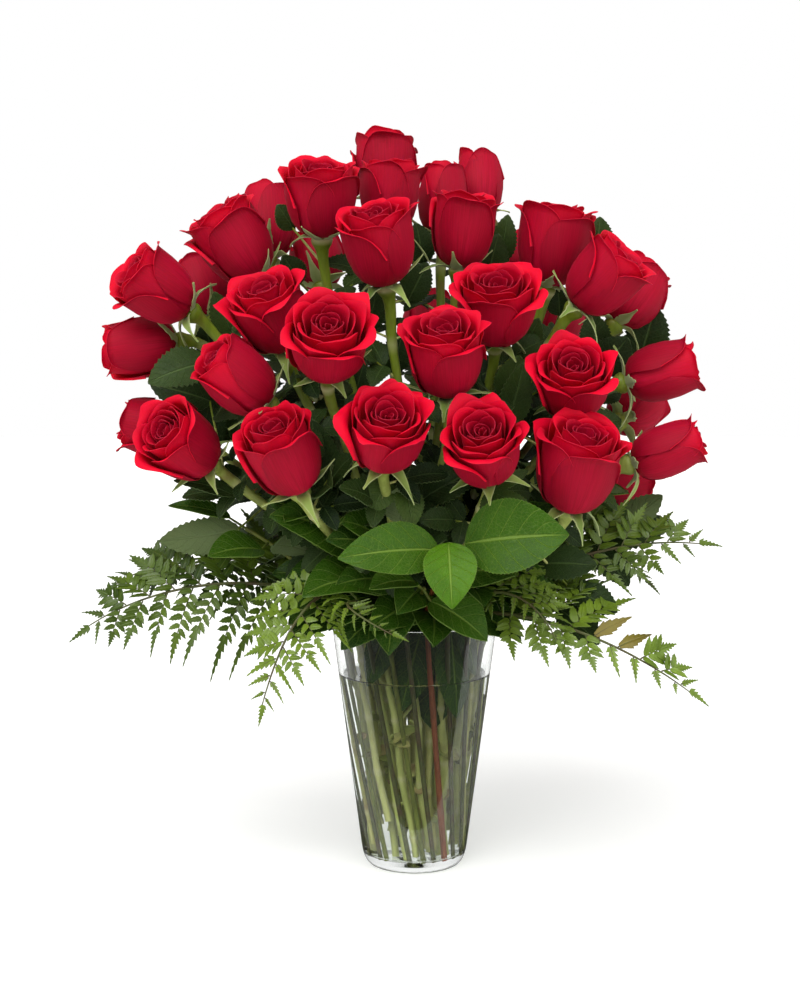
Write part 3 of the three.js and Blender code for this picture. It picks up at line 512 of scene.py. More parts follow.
class Grown:
    """One rose, frond or salal stem: its row of the tables, its place on the floor and its curve above the
    vase."""

    def __init__(self, name, **facts):
        self.name = name
        self.place = None
        self.bunch = None
        self.__dict__.update(facts)

    def stand(self, z):
        """The middle of the stem's straight part at a height: from its place turned by the spiral, at the
        floor, in a line to its place drawn out by the vase's taper, at CLEAR_Z."""
        x, y = self.place
        c, s = math.cos(SPIRAL), math.sin(SPIRAL)
        foot = vec(x * c - y * s, x * s + y * c, FLOOR_Z)
        top = vec(x * scale_at(CLEAR_Z), y * scale_at(CLEAR_Z), CLEAR_Z)
        return foot + (top - foot) * (z - FLOOR_Z) / (CLEAR_Z - FLOOR_Z)


def rose_curve(rose):
    """The stem above the straight part: a cubic from CLEAR_Z to the foot of the hip that leaves along the
    stem's lean and arrives between its chord and the bloom's axis, each handle 0.3 of the reach."""
    start = rose.stand(CLEAR_Z)
    lean = SPREAD / (VASE_HEIGHT - FLOOR_Z)
    rise = unit(vec(rose.place[0] * lean, rose.place[1] * lean, 1))
    end = rose.hip - rose.axis * HIP_HEIGHT
    reach = np.linalg.norm(end - start)
    arrive = unit(unit(end - start) + rose.axis)
    return [start, start + rise * reach * 0.3, end - arrive * reach * 0.3, end]


def plant():
    """Reads the tables and stands every stem in the vase."""
    roses = [
        Grown(n, hip=vec(x, y, z), axis=direction(az, el), radius=r, height=h, kind=k, turn=t)
        for n, x, y, z, az, el, r, h, k, t in ROSES
    ]
    fronds = [
        Grown(n, azimuth=az, bends=(a, b, c), face=vec(*f), share=s, longest=l, tone=t)
        for n, az, a, b, c, f, s, l, t in FRONDS
    ]
    sprigs = [Grown(n, azimuth=az, bends=(a, b, c), leaves=leaves) for n, az, a, b, c, leaves in SALAL]
    wants = []
    for rose in roses:
        flat = math.hypot(rose.hip[0], rose.hip[1])
        far = ROSE_FAR * math.atan2(flat, rose.hip[2] - WATER_Z) / ROSE_LEAN
        wants.append((far * rose.hip[0] / flat, far * rose.hip[1] / flat, ROSE_STEM_RADIUS))
    for green in fronds + sprigs:
        a = math.radians(green.azimuth)
        wants.append((GREEN_FAR * math.cos(a), GREEN_FAR * math.sin(a), GREEN_STEM_RADIUS))
    for grown, place in zip(roses + fronds + sprigs, standing_places(wants)):
        grown.place = place[:2]
        grown.girth = place[2]
    # Outside the middle, bunches are sectors of 60 degrees, the first of them centred on +X.
    for rose in roses:
        x, y = rose.place
        sector = int((math.degrees(math.atan2(y, x)) + 390) // 60) % 6
        rose.bunch = "middle" if math.hypot(x, y) < MIDDLE_RADIUS else BUNCHES[1 + sector]
        rose.curve = rose_curve(rose)
    for green in fronds + sprigs:
        green.curve = [green.stand(CLEAR_Z)] + [vec(*b) for b in green.bends]
    return roses, fronds, sprigs


def passes(a, b, other):
    """How near the line from a to b on the vase's floor comes to a stem that stands elsewhere."""
    dx, dy = b[0] - a[0], b[1] - a[1]
    t = ((other[0] - a[0]) * dx + (other[1] - a[1]) * dy) / (dx * dx + dy * dy)
    u = min(1, max(0, t))
    return math.hypot(a[0] + u * dx - other[0], a[1] + u * dy - other[1])


def links(bunch, everyone):
    """Nearest links that hold a bunch together, each past no other bunch's stem."""
    found, inside, outside = [], [bunch[0]], bunch[1:]
    others = [one for one in everyone if one not in bunch]
    while outside:
        best = None
        for a in inside:
            for b in outside:
                d = math.hypot(a.place[0] - b.place[0], a.place[1] - b.place[1])
                room = min(passes(a.place, b.place, one.place) - one.girth for one in others)
                if room > LINK_ROOM and (best is None or d < best[2]):
                    best = (a, b, d)
        found.append(best)
        inside.append(best[1])
        outside.remove(best[1])
    return found


# ---------------------------------------------------------------- blooms
PETAL_ROWS = 14
BODY_ROWS = 7
PETAL_COLUMNS = 17
# Each petal stands this many degrees round from the last, the golden angle.
PETAL_TURN = 137.5
# So many of the outermost petals stand free; the others lie close to each other.
LOOSE_PETALS = 3
# The shares of a petal's length that its body and its lip take in the marks.
BODY_SHARE = 0.62
LIP_SHARE = 0.38
# Seeds of the draws are these plus the rose's number.
PETAL_SEED = 900
SHADE_SEED = 1300
SEPAL_SEED = 500
THORN_SEED = 40
LEAF_SEED = 70


def turned_to(axis):
    """The matrix that turns +Z to the axis by the shortest way, with the axis's azimuth kept."""
    x, y, z = axis
    k = 1 / (1 + z)
    return np.array([[1 - k * x * x, -k * x * y, x], [-k * x * y, 1 - k * y * y, y], [-x, -y, z]])


def bloom_grid(rose, settings):
    """Middle points of a bloom's petals, of shape (petals, rows, columns, 3), and each petal's place from
    rim to heart.

    A petal's profile, as radius and height about the bloom's axis, is a cubic from the hip out to its belly
    and up to its shoulder, then an arc that turns outwards: the lip. The lip is longest at a point near the
    petal's middle and runs out to nothing at both sides, and it turns less at the point, so that the rim is
    drawn out there. The petal wraps an angle about the axis, one side a little further out than the other.
    A free petal's side stands out more, and a close petal's sides are drawn in a little.
    """
    count, table = PETALS[rose.kind]
    random = seeded(PETAL_SEED + int(rose.name))

    def column(a):
        return a[:, None, None]

    def draw(spread):
        """One number for each petal, from minus the spread to the spread."""
        return spread * (2 * np.array([next(random) for _ in range(count)]) - 1)

    # Each petal's own measures, drawn about the table's.
    table = np.array(table)
    q = np.linspace(0, 1, count)
    belly, rim, top, lip, curl, wrap = (np.interp(q, table[:, 0], table[:, k]) for k in range(1, 7))
    outer = column(1 - q)
    rim = column(rim * (1 + draw(0.05)) * rose.radius)
    belly = column(belly * (1 + draw(0.02)) * rose.radius)
    top = column(top * (1 + draw(0.03)) * rose.height) * (1 + column(draw(0.05)) * outer)
    lip = column(lip * (1 + draw(0.25)) * rose.radius)
    curl = column(np.radians(curl * settings.lip_turn * (1 + draw(0.28))))
    wrap = column(np.radians(wrap * (1 + draw(0.08))))
    phase, ripple, skew = column(draw(math.pi)), column(draw(1.0)), column(draw(0.35))
    drawn, slope = column(0.5 + draw(0.5)), column(draw(0.06))
    start = column(np.radians(rose.turn + PETAL_TURN * np.arange(count)) + draw(0.16))
    free = column(np.where(np.arange(count) < LOOSE_PETALS, 1.0, 0.0))

    # The body up to the shoulder. It stops a little lower at the petal's sides.
    lip_rows = PETAL_ROWS - BODY_ROWS
    v = np.linspace(-1, 1, PETAL_COLUMNS)[None, None, :]
    body = np.concatenate([np.linspace(0, 1, BODY_ROWS), np.ones(lip_rows)])[None, :, None]
    over = np.concatenate([np.zeros(BODY_ROWS), np.linspace(0, 1, lip_rows + 1)[1:]])[None, :, None]
    t = body * (1 - (0.12 + 0.14 * outer) * np.abs(v) ** 5)
    w0, w1, w2, w3 = (1 - t) ** 3, 3 * t * (1 - t) ** 2, 3 * t * t * (1 - t), t**3
    r = 4 * w0 + 0.8 * belly * w1 + belly * w2 + rim * w3
    z = 0.45 * top * w2 + top * w3

    # The lip, an arc that goes on in the body's direction at the shoulder.
    d1, d2, d3 = 3 * (1 - t) ** 2, 6 * t * (1 - t), 3 * t * t
    slope_r = (0.8 * belly - 4) * d1 + 0.2 * belly * d2 + (rim - belly) * d3
    slope_z = 0.45 * top * d2 + 0.55 * top * d3
    lean = np.arctan2(slope_r, slope_z)
    point = np.clip(1 - np.abs(v - skew * (1 - v * v)), 0, 1)
    edge = np.sin(7 * v + 2 * phase) * np.cos(3 * v + phase)
    length = lip * (0.04 + 1.08 * point**0.8) * (1 + 0.09 * edge)
    turn = curl * length / lip * (1 - 0.5 * drawn * outer * point**3)
    r = r + length / turn * (np.cos(lean) - np.cos(lean + turn * over))
    z = z + length / turn * (np.sin(lean + turn * over) - np.sin(lean))

    # Tuck, standing side, drawn-in sides and ripples, all growing towards the rim.
    s = BODY_SHARE * body + LIP_SHARE * over
    r = r * (1 + settings.tuck * v * (0.3 + 0.7 * s) * (0.35 + 0.65 * free))
    r = r + 0.07 * rose.radius * np.clip(v, 0, 1) ** 3 * s**2 * outer * free
    r = r * (1 - 0.02 * np.abs(v) ** 3 * (1 - free))
    r = r + 0.022 * rose.radius * np.sin(v * (3.2 + ripple) + phase) * s**3 * (0.3 + 0.7 * outer)
    r = r + 0.009 * rose.radius * np.sin(v * (9 + 2 * ripple) + phase) * s**2 * (0.4 + 0.6 * outer)
    z = z + 0.02 * rose.radius * np.cos(v * (6 + ripple) + phase) * s**4 + slope * top * v * s

    # The wrap, narrower at the hip and where the lip stands further out than the shoulder.
    end_r = r[:, BODY_ROWS - 1 : BODY_ROWS, :]
    wide = (0.72 + 0.28 * smooth(0, 0.6, s)) * np.where(over > 0, np.minimum(1, end_r / r) ** 0.9, 1)
    angle = start + v * wrap * wide
    grid = np.stack([r * np.cos(angle), r * np.sin(angle), z + GAP + 0 * angle], -1)
    return grid @ turned_to(rose.axis).T + rose.hip, q


def build_bloom(rose, settings, material):
    """One bloom. A petal's tone is its place from rim (0) to heart (1), plus 10 times a whole number from 0
    to 9 that sets how dark it is."""
    sheaf = Sheaf()
    grid, q = bloom_grid(rose, settings)
    random = seeded(SHADE_SEED + int(rose.name))
    shade = np.array([next(random) for _ in q])
    lip = np.linspace(0, 1, PETAL_ROWS - BODY_ROWS + 1)[1:]
    along = np.concatenate([BODY_SHARE * np.linspace(0, 1, BODY_ROWS), BODY_SHARE + LIP_SHARE * lip])
    tone = q + 10 * np.floor(10 * shade)
    add_blades(sheaf, grid, settings.petal_thickness / MM, 0, tone, along=along[:, None])
    return sheaf.build("rose_bloom_" + rose.name, [material], crease=70)


# ---------------------------------------------------------------- leaves
def leaf_grid(
    base, tip, width, face, shape, teeth, depth, columns=7, arch=0.08, fold=0.25, twist=0.0, wave=0.0
):
    """Middle points of one leaf from base to tip, rows x columns.

    The half width is shape(share of the length); along each tooth it grows from the cut to the point. The
    blade is folded up from its midrib, arched along it, turned about it by the twist and waved at its
    margin.
    """
    run = tip - base
    length = np.linalg.norm(run)
    ahead = run / length
    normal = square_to(face, ahead)
    side = np.cross(normal, ahead)
    u = np.arange(2 * teeth + 1) / (2 * teeth)
    point = (np.arange(2 * teeth + 1) % 2).astype(float)
    v = np.linspace(-1, 1, columns)
    margin = np.abs(v) ** 6
    cut = 1 - depth * (1 - point[:, None]) * margin
    half = 0.5 * width * shape(u)[:, None] * v * cut
    s = u[:, None] + 0.35 * depth / teeth * point[:, None] * margin + 0 * half
    lift = arch * length * 4 * s * (1 - s) + fold * np.abs(half)
    lift = lift + wave * width * np.sin(9 * s + 2 * np.sign(v)) * v * v
    angle = twist * (s - 0.3)
    across = half * np.cos(angle) - lift * np.sin(angle)
    lift = half * np.sin(angle) + lift * np.cos(angle)
    return base + s[..., None] * run + across[..., None] * side + lift[..., None] * normal


def salal_shape(u):
    """Broad near the base, drawn out to a point."""
    return np.maximum(2.76 * np.maximum(u, 0) ** 0.62 * np.maximum(1 - u, 0) ** 0.88, 0.012)


def rose_shape(u):
    """An oval that is widest at the middle and ends in a short point."""
    return np.maximum(2.61 * np.maximum(u, 0) ** 0.62 * np.maximum(1 - u, 0) ** 0.78, 0.012)


def sepal_shape(u):
    """Widest a third of the way, then drawn out to a thin tail."""
    return np.interp(u, [0, 0.12, 0.32, 0.55, 0.75, 1], [0.62, 0.86, 1.0, 0.62, 0.3, 0.1])


def add_leaf(sheaf, base, tip, width, face, kind, tone, thickness, shape=rose_shape, **form):
    """Adds one leaf; form holds what leaf_grid may be given."""
    form = {"teeth": 13, "depth": 0.12, **form}
    grid = leaf_grid(vec(*base), vec(*tip), width, vec(*face), shape, **form)
    add_blades(sheaf, grid[None], thickness, kind, tone)


def add_rose_leaf(sheaf, base, tip, width, face, leaflets, tone, thickness):
    """A rose leaf: one leaflet, or three with the side pair set at its base."""
    base, tip, face = vec(*base), vec(*tip), vec(*face)
    add_leaf(sheaf, base, tip, width, face, ROSE_LEAF, tone, thickness, wave=0.02)
    if leaflets == 3:
        run = tip - base
        ahead = unit(run)
        side = np.cross(square_to(face, ahead), ahead)
        for way in (1, -1):
            start = base - 2 * ahead
            end = start + 0.35 * run + 0.7 * way * np.linalg.norm(run) * side
            add_leaf(sheaf, start, end, 0.85 * width, face, ROSE_LEAF, tone, thickness, wave=0.02)


def nearest_on(curve, point):
    """The nearest of 41 points on a curve's first 0.96."""
    points = bezier(curve, np.linspace(0, 0.96, 41))
    return points[np.argmin(np.linalg.norm(points - point, axis=1))]


def add_stalk(sheaf, start, end, radius, kind, tone, sag=0.0):
    """A thin stalk, bowed down by the sag in its middle and a little thicker at its foot."""
    t = np.linspace(0, 1, 7)
    path = start + (end - start) * t[:, None] - vec(0, 0, 1) * (sag * 4 * t * (1 - t))[:, None]
    add_tube(sheaf, path, radius * (1.25 - 0.4 * t), 6, kind, tone)


# ---------------------------------------------------------------- rose stems
STEM, SEPAL, ROSE_LEAF, THORN, WITHERED = range(5)
LOW_STATIONS = 60
HIGH_STATIONS = 30
# The hip's stations along the bloom's axis from its top, and its radii there.
HIP_STATIONS = (-11, -8.5, -6, -3.5, -1.5, 0.4)
HIP_RADII = (4.9, 6.0, 7.5, 8.2, 7.8, 5.2)
JOINT_REACH = 2.3
JOINT_SWELL = 0.75
SWAY = 1.2
# Stubs are left between these stations of the stem.
STUBS_FROM, STUBS_TO = 5, 64
STUB_RADII = (1.6, 1.3, 1.0)
SCRAP_THICKNESS = 0.5
SEPAL_LENGTH = 30.0
SEPAL_THICKNESS = 0.6
THORNS = 5
THORN_RADII = (1.6, 0.75, 0.12)
# No leaf grows where the front salal leaves lie: in front of this y, and between these z and x.
SALAL_FRONT, SALAL_Z, SALAL_X = -104, (212, 300), (-66, 116)


def stem_path(rose):
    """Stations of a rose stem: up from its cut end in a straight line, along its curve, and through the
    hip. Some stems are cut shorter than others, and end a little above the vase's floor; those at the front
    by less."""
    short = 5.2 * (int(rose.name) * 3 % 7) * (1 if rose.place[1] > -14 else 0.25)
    cut = FLOOR_Z + GAP + short
    low = np.array([rose.stand(z) for z in np.linspace(cut, CLEAR_Z - 6, LOW_STATIONS)])
    high = bezier(rose.curve, np.linspace(0, 0.985, HIGH_STATIONS))
    return np.concatenate([low, high, rose.hip + np.outer(HIP_STATIONS, rose.axis)])


def add_rose_stem(sheaf, rose, settings):
    """One stem with its joints, stubs, thorns, hip and five sepals.

    Its radius is slimmer in the water, swells as a bell curve at each joint and grows under the hip. The
    stem sways to and fro as a sine, half a wave from joint to joint, and less towards the hip.
    """
    number = int(rose.name)
    path = stem_path(rose)
    steps = np.concatenate([[0], np.cumsum(np.linalg.norm(np.diff(path, axis=0), axis=1))])
    joint = 40 + 14 * (number * 37 % 10) / 10
    offset = number * 17 % 41
    swell = np.exp(-((((steps + offset) % joint - joint / 2) / JOINT_REACH) ** 2))
    slim = (0.80 + 0.2 * smooth(60, 240, steps)) * (0.92 + 0.16 * (number * 53 % 10) / 10)
    radius = settings.stem_radius / MM * slim + JOINT_SWELL * swell
    radius = radius + 1.2 * smooth(60, 0, steps[-1] - steps)
    radius[-len(HIP_RADII) :] = HIP_RADII
    reference = vec(-(rose.hip[1] - rose.place[1]), rose.hip[0] - rose.place[0], 0)
    sway = SWAY * np.sin(np.pi * (steps + offset) / joint) * smooth(0, 40, steps[-1] - steps)
    path = path + sway[:, None] * unit(reference)
    tone = number * 29 % 100 / 100
    add_tube(sheaf, path, radius, 12, STEM, tone, reference, along=path[:, 2] / 500, joints=swell)
    for k in range(1, int(steps[-1] / joint)):
        i = int(np.interp((k + 0.5) * joint - offset, steps, np.arange(len(steps))))
        if STUBS_FROM < i < STUBS_TO:
            ahead = unit(np.gradient(path, axis=0))[i]
            add_stub(sheaf, path[i], ahead, square_to(unit(reference), ahead), 2.4 * k + number, number + k)
    add_sepals(sheaf, rose, reference)
    add_thorns(sheaf, rose, reference)


def add_stub(sheaf, place, ahead, x, turn, count):
    """What is left of a leaf at a joint: a stub of its stalk, long at each fourth joint, and at each second
    a withered scrap of leaf. It stands out of the stem by the turn, or the other way where it would meet
    the glass."""
    out = math.cos(turn) * x + math.sin(turn) * np.cross(ahead, x)
    room = inner_radius(place[2]) - 3 if place[2] < VASE_HEIGHT else 90
    if np.linalg.norm((place + 24 * out)[:2]) > room:
        out = -out
    part = turn % 1
    far = 17 if count % 4 == 1 else 6 + 3 * part
    stub = place + np.outer([1.8, 0.6 * far, far], unit(out + 0.9 * ahead))
    add_tube(sheaf, stub, STUB_RADII, 6, STEM, 0.1, ahead, along=[0.3, 0.3, 0.3])
    if count % 2 == 0:
        base = place + 2 * out
        tip = base + (15 + 9 * part) * unit(out + vec(0, 0, 0.8 * math.sin(3 * turn)))
        form = {"teeth": 5, "depth": 0.2, "columns": 5, "twist": 0.8}
        add_leaf(sheaf, base, tip, 12, ahead + vec(0, -0.8, 0), WITHERED, part, SCRAP_THICKNESS, **form)


def add_sepals(sheaf, rose, reference):
    """Five sepals round the hip; each one's drop and length are drawn."""
    number = int(rose.name)
    random = seeded(SEPAL_SEED + number)
    across = square_to(square_to(unit(reference), bezier_heading(rose.curve, [1.0])[0]), rose.axis)
    up = np.cross(rose.axis, across)
    for i in range(1, 10, 2):
        a = 2 * math.pi * i / 10
        out = across * math.cos(a) + up * math.sin(a)
        drop = 15 - 39 * next(random)
        far = SEPAL_LENGTH - (1 if drop > 0 else 8) * next(random)
        add_sepal(sheaf, rose, out, far, drop, (number * 7 + i) % 10 / 10)


def add_thorns(sheaf, rose, reference):
    """Thorns at drawn places along the stem's curve, each hooked a little backwards."""
    random = seeded(THORN_SEED + int(rose.name))
    for _ in range(THORNS):
        t = 0.12 + 0.8 * next(random)
        a = 2 * math.pi * next(random)
        ahead = bezier_heading(rose.curve, [t])[0]
        x = square_to(unit(reference), ahead)
        out = x * math.cos(a) + np.cross(ahead, x) * math.sin(a)
        root = bezier(rose.curve, [t])[0] + 2.4 * out
        thorn = np.array([root, root + 2.2 * out - 0.3 * ahead, root + 4.6 * out - 1.6 * ahead])
        add_tube(sheaf, thorn, THORN_RADII, 6, THORN, 0.5, ahead)


def add_sepal(sheaf, rose, out, far, drop, tone):
    """One sepal: its midline is a quadratic from the hip out under the bloom and down to the tip, its blade
    a leaf outline folded along it, with small side points on some."""
    rows, columns = 13, 5
    t = np.linspace(0, 1, rows)[:, None]
    root = rose.hip + 4.5 * out - 2.2 * rose.axis
    shoulder = rose.hip + 17 * out + (1.0 + 3 * tone) * rose.axis
    tip = rose.hip + (far + 5 * tone) * out + drop * rose.axis
    line = (1 - t) ** 2 * root + 2 * t * (1 - t) * shoulder + t * t * tip
    heading = unit(np.gradient(line, axis=0))
    side = unit(np.cross(rose.axis, out))
    side = side + 0.25 * math.sin(7 * tone) * out
    normal = unit(np.cross(heading, side))
    v = np.linspace(-1, 1, columns)
    half = 4.7 * sepal_shape(t[:, 0])[:, None] * v
    if tone > 0.55:
        half = half * (1 + 0.2 * (np.arange(rows) % 3 == 1)[:, None] * (np.abs(v) > 0.9))
    lift = 0.35 * np.abs(half) + 0.6 * np.sin(9 * t + 5 * tone) * v * t
    grid = line[:, None] + half[..., None] * side + lift[..., None] * normal[:, None]
    add_blades(sheaf, grid[None], SEPAL_THICKNESS, SEPAL, tone)


def clear_of_blooms(points, roses):
    """Whether the points are outside the ball that each bloom fills, behind the belly of each bloom that is
    near, and off the front salal leaves."""
    for one in roses:
        away = points - (one.hip + one.axis * one.height * 0.5)
        far = np.linalg.norm(away, axis=1)
        if np.min(far) < 0.5 * one.height + 2 or np.any((far < 64) & (away @ one.axis > 2)):
            return False
    x, y, z = points.T
    beside = (x > SALAL_X[0]) & (x < SALAL_X[1]) & (z > SALAL_Z[0]) & (z < SALAL_Z[1])
    return not np.any((y < SALAL_FRONT) & beside)


def filling_leaves(rose, roses):
    """Compound leaves that fill the bouquet between its stems, as foot, way out, length of the end leaflet,
    way that it faces and tone. They leave the stem's curve at set shares to alternate sides, and one that
    would run into a bloom is turned on and drawn again, or left out. Seeded by the rose's number."""
    random = seeded(LEAF_SEED + int(rose.name))
    found = []
    azimuth = math.atan2(rose.hip[1], rose.hip[0])
    for k, share_up in enumerate((0.12, 0.28, 0.45, 0.6, 0.74, 0.87)):
        for attempt in range(8):
            t = share_up + 0.12 * (next(random) - 0.5)
            a = azimuth + (1.0 if k % 2 else -1.0) * (0.5 + 1.2 * next(random)) + 0.9 * attempt
            size = (36 if share_up < 0.7 else 25) + 14 * next(random)
            rise, tone = 0.1 + 0.8 * next(random), next(random)
            foot = bezier(rose.curve, [t])[0]
            out = unit(vec(math.cos(a), math.sin(a), rise))
            reach = foot + out * np.linspace(14, 1.6 * size, 6)[:, None]
            if clear_of_blooms(reach, roses):
                drawn = 60 * vec(math.cos(7 * tone), 0, math.sin(9 * tone))
                face = unit(vec(rose.hip[0], rose.hip[1] - 90, 130) + drawn)
                found.append((foot, out, size, face, tone))
                break
    return found


def add_compound(sheaf, foot, out, size, face, tone, settings):
    """A compound rose leaf: a bowed stalk, an end leaflet and a smaller pair of side leaflets."""
    droop = vec(0, 0, -0.22)
    base = foot + 0.56 * size * unit(out + 0.3 * droop)
    tip = base + size * unit(out + droop)
    add_stalk(sheaf, foot, base + 1.5 * unit(tip - base), 0.8, STEM, 0.5)
    form = {"arch": 0.07, "wave": 0.03, "depth": 0.14, "teeth": 11, "columns": 5, "twist": 0.7 * (tone - 0.5)}
    thickness = settings.leaf_thickness / MM
    add_leaf(sheaf, base, tip, 0.64 * size, face, ROSE_LEAF, 0.5 * tone, thickness, **form)
    ahead = unit(tip - base)
    side = np.cross(square_to(face, ahead), ahead)
    for way in (1, -1):
        root = base - 7 * ahead
        end = root + 0.72 * size * unit(0.5 * ahead + way * side + droop)
        add_leaf(sheaf, root, end, 0.46 * size, face, ROSE_LEAF, 0.5 * tone + 0.05 * way, thickness, **form)


def build_bunch(name, roses, everyone, settings, materials):
    """One bunch of rose stems with their leaves, and the leaf stalks that lie across from stem to stem."""
    sheaf = Sheaf()
    members = [rose for rose in roses if rose.bunch == name]
    for rose in members:
        add_rose_stem(sheaf, rose, settings)
        for leaf in filling_leaves(rose, roses):
            add_compound(sheaf, *leaf, settings)
    for a, b, _ in links(members, everyone):
        z = CLEAR_Z - 6 - 3.4 * BUNCHES.index(name)
        add_stalk(sheaf, a.stand(z), b.stand(z - 1), LINK_RADIUS, STEM, 0.4)
    thickness = settings.leaf_thickness / MM
    curves = {rose.name: rose.curve for rose in members}
    for stem, base, tip, width, face, leaflets, tone in ROSE_LEAVES:
        if stem in curves:
            base, tip = vec(*base), vec(*tip)
            add_rose_leaf(sheaf, base, tip, width, face, leaflets, tone, thickness)
            stalk_end = base + 1.5 * unit(tip - base)
            add_stalk(sheaf, nearest_on(curves[stem], base), stalk_end, 0.9, STEM, 0.5)
    return sheaf.build("rose_stems_" + name, materials)


# ---------------------------------------------------------------- fern
RACHIS, PINNULE = range(2)
PINNA_PAIRS = 8
LOW_RIB, HIGH_RIB = 14, 40
FROND_SEED = 300
# A pinna shorter than this has no separate pinnules, only a toothed blade.
SIMPLE_PINNA = 24
# Pinnae that hang below the rib are narrower, and on these fronds shorter.
HANGING = 0.76
SHORT_BELOW = {"front_right": 0.54, "front_mid": 0.54, "right": 0.8}
# Two upper pinnae of one frond are withered: simple, short, and of a tone that the colour reads as rusty.
RUSTY_FROND, RUSTY_PAIRS = "front_right", (3, 4)
RUSTY = 1.5
RUSTY_REACH = 0.68
# A pinnule's half width along its length: a narrow foot, three teeth on each side and a point.
PINNULE_ALONG = np.array([0.0, 0.14, 0.32, 0.37, 0.54, 0.59, 0.76, 0.81, 1.0])
PINNULE_HALF = np.array([0.5, 0.92, 1.0, 0.82, 0.92, 0.7, 0.68, 0.42, 0.05])
TIP_ROWS = 13


def frond_stations(length):
    """Where the pinnae leave the rib: evenly at first and closer towards the tip."""
    s = np.arange(PINNA_PAIRS + 1) / PINNA_PAIRS
    return length * 0.93 * (s * 1.12 - 0.12 * s * s)


def frond_place(run, start, face, x, y, lift):
    """Puts flat frond points in space: x runs along the midrib, y across it and the blade droops as y
    squared."""
    reach = np.minimum(run.whole, start + x)
    ahead = run.heading(reach)
    normal = square_to(np.broadcast_to(face, ahead.shape), ahead)
    side = np.cross(normal, ahead)
    beyond = (start + x - reach)[..., None]
    drop = (lift - 0.0022 * y * y)[..., None]
    return run.at(reach) + beyond * ahead + y[..., None] * side + drop * normal


def add_rib(sheaf, frond, run):
    """The frond's stem and rib, slimmer towards its tip."""
    low = np.array([frond.stand(z) for z in np.linspace(FLOOR_Z + GAP, CLEAR_Z - 5, LOW_RIB)])
    reach = np.linspace(0, run.whole * 0.985, HIGH_RIB)
    path = np.concatenate([low, run.at(reach)])
    slim = GREEN_STEM_RADIUS * (1 - 0.82 * reach / run.whole)
    radius = np.concatenate([np.full(LOW_RIB, GREEN_STEM_RADIUS), slim])
    heading = path[-1] - path[0]
    along = np.concatenate([np.linspace(0, 0.4, LOW_RIB), np.linspace(0.4, 1, HIGH_RIB)])
    add_tube(sheaf, path, radius, 8, RACHIS, frond.tone, vec(-heading[1], heading[0], 0), along=along)


def build_frond(frond, settings, materials):
    """One frond. Pinnae leave the rib in pairs and shorten towards its end. Each has small toothed pinnules
    to alternate sides that shorten towards the pinna's tip until they run together, and one last toothed
    blade ends the rib."""
    sheaf = Sheaf()
    run = Run(frond.curve)
    length = run.whole * frond.share
    start = run.whole - length
    random = seeded(FROND_SEED + int(1000 * frond.tone) + len(frond.name))
    add_rib(sheaf, frond, run)
    stations = frond_stations(length)
    grids, tones, tips, tip_tones = [], [], [], []
    for k in range(PINNA_PAIRS):
        gap = stations[k + 1] - stations[k]
        far = frond.longest * (1 - 0.86 * ((k + 0.5) / PINNA_PAIRS) ** 1.15) * (0.9 if k == 0 else 1)
        simple = far <= SIMPLE_PINNA
        broad = min(gap + 2, 0.5 * far) if simple else min(0.66 * gap + 3.5, 0.36 * far + 4, 16)
        ahead = run.heading(np.array([start + stations[k]]))[0]
        for way in (1, -1):
            hangs = way * np.cross(square_to(frond.face, ahead), ahead)[2] < 0
            rusty = frond.name == RUSTY_FROND and k in RUSTY_PAIRS and not hangs
            reach = SHORT_BELOW.get(frond.name, 1) if hangs else RUSTY_REACH if rusty else 1
            pinna = Pinna(
                frond,
                run,
                start,
                middle=stations[k] + gap * (0.4 if way > 0 else 0.1),
                way=way,
                far=far * reach,
                lean=math.radians(66 - 16 * k / PINNA_PAIRS + 10 * (next(random) - 0.5)),
                twist=1.7 * (next(random) - 0.5),
                bow=0.08 + 0.12 * (next(random) - 0.5),
                sag=0.0012 + 0.002 * next(random),
            )
            bright = frond.tone + 0.3 * (next(random) - 0.5)
            bright = RUSTY if rusty else bright
            t = np.linspace(0, 0.97, 9)
            line = pinna.put(t, 0 * t, 0 * t)
            add_tube(sheaf, line, 0.55 * (1.15 - t), 5, RACHIS, frond.tone, frond.face, along=0.6 + 0.4 * t)
            grid, tone, tip = pinnules(pinna, broad * (HANGING if hangs else 1), bright, random)
            grids.append(grid)
            tones.append(tone)
            tips.append(tip)
            tip_tones.append(bright)
    last = {"middle": stations[-1] - 3, "far": 0.07 * length + 8}
    end = Pinna(frond, run, start, way=1, lean=0.0, twist=0.2, bow=0.0, sag=0.002, **last)
    tips.append(pinnules(end, 0.5 * end.far, frond.tone, random)[2])
    tip_tones.append(frond.tone)
    thickness = settings.pinnule_thickness / MM
    add_blades(sheaf, np.concatenate(grids), thickness, PINNULE, np.concatenate(tones))
    add_blades(sheaf, np.stack(tips), thickness, PINNULE, np.array(tip_tones))
    return sheaf.build("fern_frond_" + frond.name, materials, crease=75)


class Pinna:
    """One side leaf of a frond: how far along the rib it leaves it (middle), its side (way, 1 or -1), its
    reach (far), its lean from the rib, and its twist, bow and sag."""

    def __init__(self, frond, run, start, **facts):
        self.frond, self.run, self.start = frond, run, start
        self.__dict__.update(facts)

    def put(self, t, w, lift):
        """Points in space: t is the share of its reach, w the distance across it and lift the distance off
        it, both turned about its rib by the twist."""
        turn = self.twist * (0.4 + 0.6 * t)
        across = w * np.cos(turn) - lift * np.sin(turn)
        up = w * np.sin(turn) + lift * np.cos(turn) - self.sag * (t * self.far) ** 2
        bend = self.bow * self.far * t * t
        x = self.middle + t * self.far * math.cos(self.lean) + across * math.sin(self.lean) + bend
        y = self.way * (1.0 + t * self.far * math.sin(self.lean) - across * math.cos(self.lean) - 0.5 * bend)
        return frond_place(self.run, self.start, self.frond.face, x, y, up)


